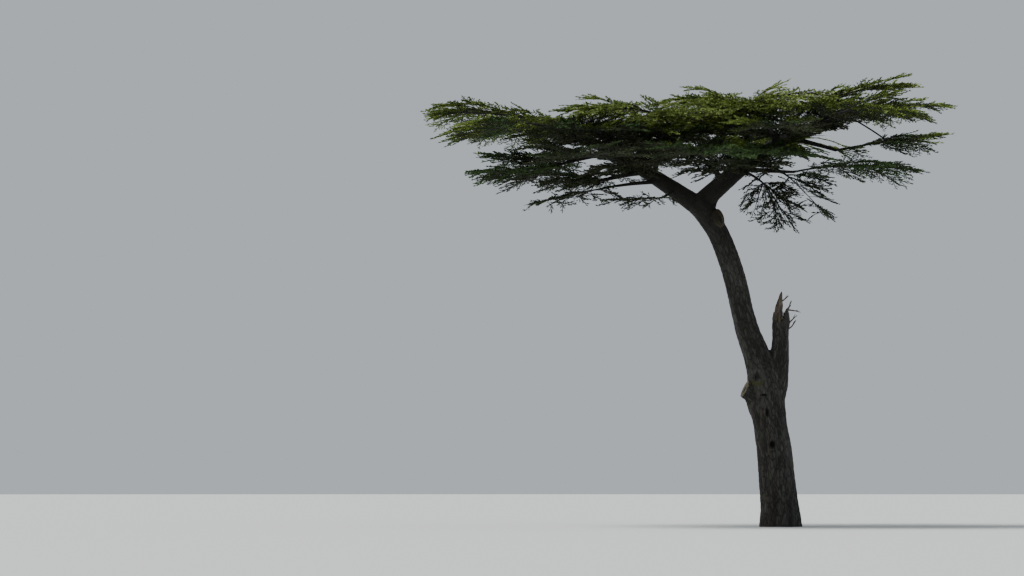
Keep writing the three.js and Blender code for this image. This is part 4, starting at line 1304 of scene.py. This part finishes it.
def build_sawn_faces():
    """The two cut faces, each a shallow dish of end grain."""
    skin = Skin()
    for name in STUB_OVALS:
        add_sawn_face(skin, name)
    piece = skin.build("sawn_faces")
    mesh = piece.data
    points = mesh_points(mesh)
    store(mesh, "bark_place", limb_places(points, list(STUB_OVALS)))
    raise_points(mesh, noise_at(points, SAWN_ROUGH["grain"]) * SAWN_ROUGH["depth"])
    # Painted shade of the crown on the sawn faces, stronger on the left of the high stub.
    aside = points[:, 0] - LIMBS["sawn_stub_high"].points[-1][0]
    left = np.clip(SAWN_SHADE["from"] - aside / SAWN_SHADE["over"], 0, 1)
    left *= points[:, 2] > SAWN_SHADE["above"]
    shade = crown_shade(points) * (SAWN_SHADE["right"] + SAWN_SHADE["left"] * left)
    store(mesh, "shaded", np.clip(shade, 0, SAWN_SHADE["most"]))
    return piece


class Lines:
    """Many curved twigs at once: where each starts, bends and ends, which way its sprays
    face, how thick it is at its foot, and its tone from 0 in the shade to 1 in the sun."""

    KEYS = ("start", "bend", "end", "facing", "radius", "tone")

    def __init__(self, start, bend, end, facing, radius, tone):
        self.start, self.bend, self.end, self.facing = (np.atleast_2d(a) for a in (start, bend, end, facing))
        self.radius, self.tone = (np.broadcast_to(a, len(self.start)).astype(float) for a in (radius, tone))
        self.length = np.linalg.norm(self.end - self.start, axis=1)

    def pick(self, which):
        """Some of the lines, as a group of their own."""
        return Lines(*(getattr(self, key)[which] for key in self.KEYS))

    @staticmethod
    def join(groups):
        """Groups of lines as one group."""
        return Lines(*(np.concatenate([getattr(g, key) for g in groups]) for key in Lines.KEYS))

    def at(self, t):
        """The point at t on each line."""
        return bezier(self.start, self.bend, self.end, t)

    def way(self, t):
        """The direction at t of each line."""
        t = np.asarray(t)[:, None]
        return unit((1 - t) * (self.bend - self.start) + t * (self.end - self.bend))

    def outer(self, share, tone=0.0):
        """The last part of each line, as lines of their own."""
        t = np.full(len(self.start), 1 - share)
        start, way = self.at(t), self.way(t)
        bend = start + way * column(self.length * share * 0.5)
        return Lines(start, bend, self.end, self.facing, self.radius * OUTER_GIRTH, self.tone + tone)


def spaced(lines, gap, along, random, jitter=0.3, least=2):
    """Places spaced along a part of each line: which line, how far along, and to which hand."""
    first, last = along
    count = np.maximum(least, np.round(lines.length * (last - first) / gap)).astype(int)
    owner = np.repeat(np.arange(len(count)), count)
    k = np.arange(len(owner)) - np.repeat(np.cumsum(count) - count, count)
    shift = random.uniform(-jitter, jitter, len(owner))
    place = first + (last - first) * np.clip((k + 0.5 + shift) / count[owner], 0, 1)
    return owner, place, np.where((k + owner) % 2, 1.0, -1.0)


def side_frame(lines, t, steepest=1.0):
    """The way along each line, which is no steeper than given, the way to its side, and the
    way that its spray faces."""
    way = lines.way(t)
    way[:, 2] = np.minimum(way[:, 2], steepest)
    way = unit(way)
    side = unit(np.cross(lines.facing, way))
    return way, side, np.cross(way, side)


def rolled(side, facing, cos, sin):
    """The side and the facing of a spray that is rolled about its way."""
    return side * cos + facing * sin, facing * cos - side * sin


def raked(frame, angle, hand, lift):
    """Ways that leave a line to one hand at an angle, lifted a little."""
    way, side, facing = frame
    return unit(way * column(np.cos(angle)) + side * column(hand * np.sin(angle)) + facing * column(lift))


def rake_angle(rake, loose, along, random):
    """The angles off a line in radians, from its foot to its tip."""
    return np.radians(mix(*rake, along) + random.uniform(-loose, loose, len(along)))


def plate_outline(along):
    """How far a plate reaches to each side of its stem, from 0 to 1, along the stem."""
    return np.sin(math.pi * (OUTLINE["foot"] + OUTLINE["length"] * along)) ** OUTLINE["fullness"]


def plate_stem(name):
    """The stem that carries a limb on into its plate."""
    limb = LIMBS[name]
    plan, reach, lift = limb.plate[:3]
    reach *= TRIMS.get(name, WHOLE)[1]
    start, leaving = limb.points[-1], limb.ways[-1]
    end = start + heading(plan) * reach + UP * lift
    bend = mix(start + leaving * reach * STEM["leaving"], mix(start, end, 0.5), STEM["straight"])
    hanging = limb.plate[-1] > 0
    return start, bend + UP * (0 if hanging else reach * STEM["arch"]), end


def plate_branches(name, settings, random):
    """The stem and the branches of one plate."""
    *_, spread, depth, roll = LIMBS[name].plate
    width, _, droop, light = TRIMS.get(name, WHOLE)
    stem = Lines(*plate_stem(name), UP, LIMBS[name].radii[-1] * STEM["share"], light)
    return stem, side_branches(stem, spread * width, depth, roll, droop, light, settings, random)


def level_reach(stem, along, angle, spread):
    """How far the branches of a level plate go: to its outline, or its end if that is nearer."""
    sideways = spread / np.sin(angle)
    forwards = (1 - along) * stem.length[0] * BRANCH["forwards"] / np.cos(angle)
    return np.minimum(sideways, forwards)


def side_branches(stem, spread, depth, roll, droop, light, settings, random):
    """The branches left and right of a stem. A stem with a roll hangs."""
    hanging = roll > 0
    habit = HANGING if hanging else LEVEL
    owner, along, hand = spaced(stem, settings.branch_gap * habit["gap"], BRANCH["along"], random)
    lines = stem.pick(owner)
    way, level, facing = side_frame(lines, along, STEEPEST)
    turn = math.radians(roll)
    level, facing = rolled(level, facing, math.cos(turn), math.sin(turn))
    angle = rake_angle(BRANCH["rake"], habit["loose"], along, random)
    outline = plate_outline(along)
    fullness = random.uniform(*habit["fullness"], len(along))
    shift = random.uniform(-BRANCH["tier_shift"], BRANCH["tier_shift"], len(along))
    tier = np.array(TIERS)[(np.arange(len(along)) >> 1) % len(TIERS)] + shift
    raised = tier * (1 - BRANCH["tier_closes"] * along**2) * depth * outline
    if hanging:
        facing = unit(UP + HANGING_SPRAY["facing"] * facing)
        out = level_out(stem, hand, len(along), random)
        reach = spread * HANGING_SPRAY["reach"] * fullness * (1 - HANGING_SPRAY["shorter"] * along)
        sag = reach * habit["sag"]
    else:
        out = way * column(np.cos(angle)) + level * column(hand * np.sin(angle))
        reach = level_reach(stem, along, angle, spread / 2 * fullness * outline)
        sag = reach * (droop * (habit["sag"] + habit["tip_sag"] * along))
    swing = way * column(reach * BRANCH["swing"])
    end_swing, bend_swing = BRANCH["swings"]
    start = lines.at(along)
    end = start + out * column(reach) + facing * column(raised) + swing * end_swing - UP * column(sag)
    lift = facing * column(raised * BRANCH["bend_raised"])
    bend = start + out * column(reach * 0.5) + lift - swing * bend_swing
    bend = bend + UP * column(reach * habit["rise"])
    return Lines(start, bend, end, facing, np.clip(reach * BRANCH["girth"], *BRANCH["radius"]), light)


def level_out(stem, hand, count, random):
    """Ways that leave a hanging stem nearly level, to one hand or the other."""
    along = unit((stem.end - stem.start) * (1, 1, 0))
    turn = column(np.radians(random.uniform(-HANGING_SPRAY["turn"], HANGING_SPRAY["turn"], count)))
    level = along * column(hand) * np.cos(turn) + np.cross(UP, along) * np.sin(turn)
    return level - UP * HANGING_SPRAY["fall"]


def small_plate(limb, at, hand, reaches, rises, settings, random):
    """A smaller plate to one hand of a bough: its stem and its branches."""
    small = SMALL_PLATE
    start, way = limb.curve(at), unit(limb.ways[int(at * (len(limb.ways) - 1))] * (1, 1, 0))
    reach, rise = random.uniform(*reaches), random.uniform(*rises)
    out = unit(way + np.cross(UP, way) * hand * random.uniform(*small["aside"]))
    end = start + out * reach + UP * rise
    bend = start + out * reach * small["bend"] + UP * rise * small["bend_rise"]
    stem = Lines(start, bend, end, UP, small["radius"], 0)
    width = reach * small["width"]
    return stem, side_branches(stem, width, small["depth"], 0, 1, small["tone"], settings, random)


def filling_plate(name, at, plan, reach, lift, spread, depth, light, settings, random):
    """A plate that fills the top or clothes a hanging bough: its stem and its branches."""
    start = LIMBS[name].curve(at)
    end = start + heading(plan) * reach + UP * lift
    bend = mix(start, end, FILLING_PLATE["bend"]) + UP * FILLING_PLATE["arch"]
    stem = Lines(start, bend, end, UP, FILLING_PLATE["radius"], 0)
    return stem, side_branches(stem, spread, depth, 0, 1, light, settings, random)


def more_plates(settings, random):
    """The plates besides those that carry the boughs on: their stems and branches."""
    plates = []
    for names, places, reaches, rises in SMALL_PLATES:
        for name in names:
            plates += [
                small_plate(LIMBS[name], at, hand, reaches, rises, settings, random) for at, hand in places
            ]
    plates += [filling_plate(*row, settings, random) for row in MORE_PLATES]
    return zip(*plates)


def grow_shoots(branches, settings, random):
    """The feathery shoots on branches, raked forward and longest at the middle."""
    owner, along, hand = spaced(branches, settings.shoot_gap, SHOOT["along"], random)
    lines = branches.pick(owner)
    way, side, facing = side_frame(lines, along, STEEPEST)
    tilt = random.normal(0, SHOOT["tilt"], len(branches.start))[owner]
    side, facing = rolled(side, facing, column(np.cos(tilt)), column(np.sin(tilt)))
    angle = rake_angle(SHOOT["rake"], SHOOT["loose"], along, random)
    least, share, shorter = SHOOT["fit"]
    fit = np.minimum(settings.shoot_length, least + share * lines.length * (1 - shorter * along))
    foot, run, power = SHOOT["profile"]
    profile = np.sin(math.pi * (foot + run * along)) ** power
    length = fit * profile * random.uniform(*SHOOT["lengths"], len(along))
    lift = random.normal(*SHOOT["lift"], len(along))
    out = raked((way, side, facing), angle, hand, lift)
    start = lines.at(along)
    swing = SHOOT["swing"]
    end = start + out * column(length) + way * column(length * swing)
    bend = start + out * column(length * 0.5) - way * column(length * (swing / 2))
    return Lines(start, bend, end, facing, np.clip(length * SHOOT["girth"], *SHOOT["radius"]), lines.tone)


def grow_side_shoots(shoots, settings, random):
    """The short side shoots that carry the tufts, shorter towards the shoot's point."""
    owner, along, hand = spaced(shoots, settings.side_shoot_gap, SIDE_SHOOT["along"], random)
    lines = shoots.pick(owner)
    frame = side_frame(lines, along)
    angle = rake_angle(SIDE_SHOOT["rake"], SIDE_SHOOT["loose"], along, random)
    width = np.minimum(lines.length * settings.feather_width, SIDE_SHOOT["widest"])
    power, foot, until, slope = SIDE_SHOOT["profile"]
    profile = width * (1 - along) ** power * (foot + np.minimum(along, until) * slope)
    length = profile * random.uniform(*SIDE_SHOOT["lengths"], len(along)) + SIDE_SHOOT["least"]
    lift = random.normal(*SIDE_SHOOT["lift"], len(along))
    start = lines.at(along)
    end = start + raked(frame, angle, hand, lift) * column(length)
    lit, scatter = SIDE_SHOOT["tone"]
    tone = lines.tone + lit * lift + random.normal(0, scatter, len(along))
    return Lines(start, (start + end) / 2, end, frame[2], SIDE_SHOOT["radius"], tone)


def skin_tubes(skin, lines, sides, steps):
    """Tubes along many lines at once, each ending in a point."""
    count = len(lines.start)
    rows = []
    for t in np.linspace(0, 1, steps + 1)[:-1]:
        place = np.full(count, t)
        _, side, facing = side_frame(lines, place)
        radius = lines.radius * (1 - TUBE_TAPER * t)
        turned = around(side, facing, round_angles(sides))
        rows.append(lines.at(place)[:, None] + turned * radius[:, None, None])
    points = np.concatenate([*rows, lines.end[:, None]], axis=1)
    each = points.shape[1]
    first = np.arange(count)[:, None, None] * each
    faces = []
    if steps > 1:
        walls = ring_faces(steps, sides)[:, ::-1]
        faces.append((walls[None] + first).reshape(-1, 4))
    last = (steps - 1) * sides
    j = np.arange(sides)
    tip = np.stack([last + j, last + (j + 1) % sides, np.full(sides, each - 1)], -1)
    faces.append((tip[None] + first).reshape(-1, 3))
    skin.add(points.reshape(-1, 3), faces)


def grow_needles(shoots, settings, random):
    """Kites in tufts along the side shoots: the corners of each, and its tone."""
    owner, along, _ = spaced(shoots, settings.tuft_gap, NEEDLE["along"], random, NEEDLE["jitter"], 1)
    tufts = np.repeat(np.arange(len(owner)), settings.needles)
    lines = shoots.pick(owner[tufts])
    along = along[tufts]
    way, side, facing = side_frame(lines, along)
    lean = np.radians(random.uniform(*NEEDLE["lean"], len(along)))
    turn = random.normal(0, NEEDLE["turn"], len(along))
    ring = facing * column(np.cos(turn)) + side * column(np.sin(turn))
    out = way * column(np.cos(lean)) + ring * column(np.sin(lean))
    across = unit(np.cross(out, unit(random.normal(0, 1, out.shape) + UP * NEEDLE["flat"])))
    length = settings.needle_length * random.uniform(*NEEDLE["lengths"], len(along))
    width = settings.needle_width * random.uniform(*NEEDLE["widths"], len(along)) / 2
    root = lines.at(along)
    middle = root + out * column(length * NEEDLE["widest"])
    wide = across * column(width)
    kites = np.stack([root, middle + wide, root + out * column(length), middle - wide], 1)
    return kites, lines.tone


def deal_shades(kites, tone):
    """The kites of each shade of painted light and shade, by tone. Low in the crown the middle shades are
    cool.
    """
    shade = np.searchsorted(-np.array(SHADE_STEPS), -tone)
    low = kites[:, 0, 2] + COOL["wave"] * np.sin(kites[:, 0, 0] * COOL["pace"]) < COOL["below"]
    shade[low & (shade < SHADES.index("deep"))] = SHADES.index("cool")
    return [kites[shade == i] for i in range(len(SHADES))]


def build_needles(name, kites, tint):
    """The needles of one shade, in pieces small enough for the export."""
    material = plain_material(f"needles_{name}", tint, roughness=0.8, gloss=0.1)
    pieces = max(1, math.ceil(len(kites) / PIECE_KITES))
    for k, share in enumerate(np.array_split(kites, pieces)):
        skin = Skin()
        skin.add(share.reshape(-1, 3), [np.arange(len(share) * 4).reshape(-1, 4)])
        wear(skin.build(f"needles_{name}_{k + 1}"), material, "needles", *FOLIAGE_NODES)


def as_seen(points):
    """Where points are seen from the viewpoint, at the trunk's distance: along X and up."""
    offset = points - VIEWPOINT
    return VIEWPOINT[[0, 2]] + offset[:, [0, 2]] * column(-VIEWPOINT[1] / offset[:, 1])


def inside_reach(lines):
    """Keeps the lines whose ends are within the frame's own reach and clear of open sky."""
    least, most = (np.array(side) for side in CAD_BOX)
    fits = np.all((lines.end > least - REACH_OVER) & (lines.end < most + REACH_OVER), axis=1)
    seen = as_seen(lines.end)
    for x, height, wide, high in CLEARINGS:
        fits &= np.hypot((seen[:, 0] - x) / wide, (seen[:, 1] - height) / high) > 1
    return lines.pick(fits)


def pooled(points):
    """What the painted pools of light and shade add to the tone at each point."""
    added = np.zeros(len(points))
    seen = as_seen(points)
    for x, height, wide, high, gain in LIGHT_POOLS:
        away = ((seen[:, 0] - x) / wide) ** 2 + ((seen[:, 1] - height) / high) ** 2
        added += gain * np.exp(-(away**2))
    return added


def sunlight(shoots, random):
    """The painted tone of each spray: painted light at the top of the crown, painted shade under other
    sprays.

    The sprays are sorted by the cell of the ground that their shadow falls in and by height,
    so those that stand over one are counted by their places in the sorted row."""
    middle = shoots.at(np.full(len(shoots.start), MID_SPRAY))
    height = middle[:, 2]
    shadow = middle[:, :2] - LIGHT_FROM[:2] / LIGHT_FROM[2] * middle[:, 2:]
    cells = np.floor(shadow / COVER["cell"]).astype(int)
    cells -= cells.min(0) - 1
    rows = cells.max(0)[1] + 2
    place = cells[:, 0] * rows + cells[:, 1]
    keys = np.sort(place * TALLER + height)
    top = np.full(place.max() + rows + 2, -TALLER)
    np.maximum.at(top, place, height)
    over, depth = np.zeros(len(middle)), np.zeros(len(middle))
    steps = (0, 1, -1, rows, -rows)
    for step in steps:
        here = (place + step) * TALLER + height
        over += np.searchsorted(keys, here + COVER["far"]) - np.searchsorted(keys, here + COVER["near"])
        depth += np.clip(top[place + step] - height, 0, COVER["deep"]) / COVER["deep"] / len(steps)
    tone = TOP_TONE - COVER["local"] * (1 - np.exp(-over / COVER["crowd"])) - COVER["global"] * depth
    return shoots.tone + tone + pooled(middle) + random.normal(0, SCATTER, len(tone))


def grow_plates(settings, random):
    """The stems and the branches of every plate."""
    stems, branches = [], []
    for name, limb in LIMBS.items():
        if limb.plate:
            stem, sides = plate_branches(name, settings, random)
            stems.append(stem)
            branches += [sides, stem.outer(*OUTER_BRANCH)]
    small_stems, small_branches = more_plates(settings, random)
    stems = Lines.join([*stems, *small_stems])
    return stems, inside_reach(Lines.join([*branches, *small_branches]))


def build_foliage(settings, wood):
    """Every plate's twigs and needles, each kind joined."""
    random = np.random.default_rng(settings.seed)
    stems, branches = grow_plates(settings, random)
    level = stems.end[:, 2] - stems.start[:, 2] > STEEP_STEM * stems.length
    shoots = grow_shoots(Lines.join([branches, stems.pick(level)]), settings, random)
    shoots = inside_reach(Lines.join([shoots, branches.outer(*OUTER_SHOOT)]))
    shoots.tone = sunlight(shoots, random)
    side_shoots = inside_reach(grow_side_shoots(shoots, settings, random))
    twigs, fine_twigs = Skin(), Skin()
    skin_tubes(twigs, stems, *TUBES["stems"])
    bare = bezier(*np.array(BARE_TWIG), np.linspace(0, 1, RINGS["bare_twig"]))
    sweep(twigs, bare, np.full(len(bare), BARE_TWIG_RADIUS), TUBES["stems"][0])
    skin_tubes(twigs, branches, *TUBES["branches"])
    skin_tubes(twigs, shoots, *TUBES["shoots"])
    skin_tubes(fine_twigs, side_shoots, *TUBES["side_shoots"])
    for skin, name in ((twigs, "twigs"), (fine_twigs, "side_shoots")):
        wear(skin.build(name), wood, "bark", *FOLIAGE_NODES)
    clothed = Lines.join([side_shoots, shoots, branches.outer(OUTER_NEEDLES)])
    clothed.tone[-len(branches.start):] = sunlight(branches, random)
    kites, tone = grow_needles(clothed, settings, random)
    for name, share in zip(SHADES, deal_shades(kites, tone)):
        build_needles(name, share, getattr(settings, name))


def build_floor(stage):
    """The plain floor, a wide disc."""
    disc = Skin()
    angles = round_angles(FLOOR_SIDES)
    rim = np.stack([np.cos(angles), np.sin(angles), 0 * angles], -1) * FLOOR_RADIUS
    disc.add(rim, [np.arange(FLOOR_SIDES)[None]])
    floor = disc.build("floor")
    floor.data.materials.append(plain_material("floor", stage.floor, roughness=0.95, gloss=0.25))


def build_light(stage):
    """A plain sky all round, and one soft light from high on the left."""
    world = bpy.data.worlds.new("sky")
    world.use_nodes = True
    sky = world.node_tree.nodes["Background"]
    sky.inputs["Color"].default_value = (*stage.sky, 1)
    sky.inputs["Strength"].default_value = stage.fill
    bpy.context.scene.world = world
    sun = bpy.data.lights.new("key", "SUN")
    sun.energy = stage.key
    sun.angle = stage.softness
    light = bpy.data.objects.new("key", sun)
    light.rotation_euler = Vector(LIGHT_FROM).to_track_quat("Z", "Y").to_euler()
    bpy.context.scene.collection.objects.link(light)


def build_camera(stage):
    """The camera, which stands on the ground far off and looks slightly up."""
    camera = bpy.data.cameras.new("camera")
    camera.lens = stage.lens
    camera.sensor_width = SENSOR_WIDTH
    camera.clip_end = 4 * FLOOR_RADIUS
    view = bpy.data.objects.new("camera", camera)
    view.location = VIEWPOINT
    view.rotation_euler = (math.pi / 2 + stage.pitch, 0, 0)
    bpy.context.scene.collection.objects.link(view)
    bpy.context.scene.camera = view


class CEDAR_OT_bark(bpy.types.Operator):
    """Grow the trunk, the main boughs and the side boughs, with their bark"""

    bl_idname = "cedar.bark"
    bl_label = "Grow Bark"

    def execute(self, context):
        bark = context.scene.cedar_bark
        material = bark_material(bark)
        wear(build_body(bark), material, "bark", *BODY_LIMBS)
        wear(build_side_boughs(bark), material, "bark", *SIDE_BOUGHS)
        return {"FINISHED"}


class CEDAR_OT_broken_top(bpy.types.Operator):
    """Tear the broken stem's top into staves, slivers and dead twigs"""

    bl_idname = "cedar.broken_top"
    bl_label = "Tear Broken Top"

    def execute(self, context):
        bark = context.scene.cedar_bark
        wear(build_broken_top(bark.break_seed), broken_material(bark), "dead_wood", "broken_stem")
        return {"FINISHED"}


class CEDAR_OT_sawn_faces(bpy.types.Operator):
    """Saw the faces of the two stubs"""

    bl_idname = "cedar.sawn_faces"
    bl_label = "Saw Stub Faces"

    def execute(self, context):
        bark = context.scene.cedar_bark
        wear(build_sawn_faces(), sawn_material(bark), "sawn_wood", *STUB_OVALS)
        return {"FINISHED"}


class CEDAR_OT_foliage(bpy.types.Operator):
    """Grow the plates of twigs and needles from the ends of the boughs"""

    bl_idname = "cedar.foliage"
    bl_label = "Grow Foliage"

    def execute(self, context):
        build_foliage(context.scene.cedar_foliage, twig_material(context.scene.cedar_bark))
        return {"FINISHED"}


class CEDAR_OT_stage(bpy.types.Operator):
    """Set the floor, the light and the camera"""

    bl_idname = "cedar.stage"
    bl_label = "Set Stage"

    def execute(self, context):
        stage = context.scene.cedar_stage
        build_floor(stage)
        build_light(stage)
        build_camera(stage)
        return {"FINISHED"}


class CEDAR_PT_panel(bpy.types.Panel):
    """The tree's settings and steps"""

    bl_idname = "CEDAR_PT_panel"
    bl_label = "Cedar of Lebanon"
    bl_space_type = "VIEW_3D"
    bl_region_type = "UI"
    bl_category = "Cedar"

    def draw(self, context):
        for group in GROUPS:
            box = self.layout.box()
            settings = getattr(context.scene, group)
            for name in settings.bl_rna.properties.keys():
                if name not in {"rna_type", "name"}:
                    box.prop(settings, name)
        for step in STEPS:
            self.layout.operator(step.bl_idname)


GROUPS = {"cedar_bark": CedarBark, "cedar_foliage": CedarFoliage, "cedar_stage": CedarStage}
STEPS = (CEDAR_OT_bark, CEDAR_OT_broken_top, CEDAR_OT_sawn_faces, CEDAR_OT_foliage, CEDAR_OT_stage)
CLASSES = (*GROUPS.values(), *STEPS, CEDAR_PT_panel)


def register():
    """Adds the classes and the settings."""
    for kind in CLASSES:
        bpy.utils.register_class(kind)
    for name, kind in GROUPS.items():
        setattr(bpy.types.Scene, name, PointerProperty(type=kind))


def unregister():
    """Takes the settings and the classes away again."""
    for name in GROUPS:
        delattr(bpy.types.Scene, name)
    for kind in reversed(CLASSES):
        bpy.utils.unregister_class(kind)


def main():
    """Runs the steps in order."""
    register()
    bpy.ops.cedar.bark()
    bpy.ops.cedar.broken_top()
    bpy.ops.cedar.sawn_faces()
    bpy.ops.cedar.foliage()
    bpy.ops.cedar.stage()


if __name__ == "__main__":
    main()
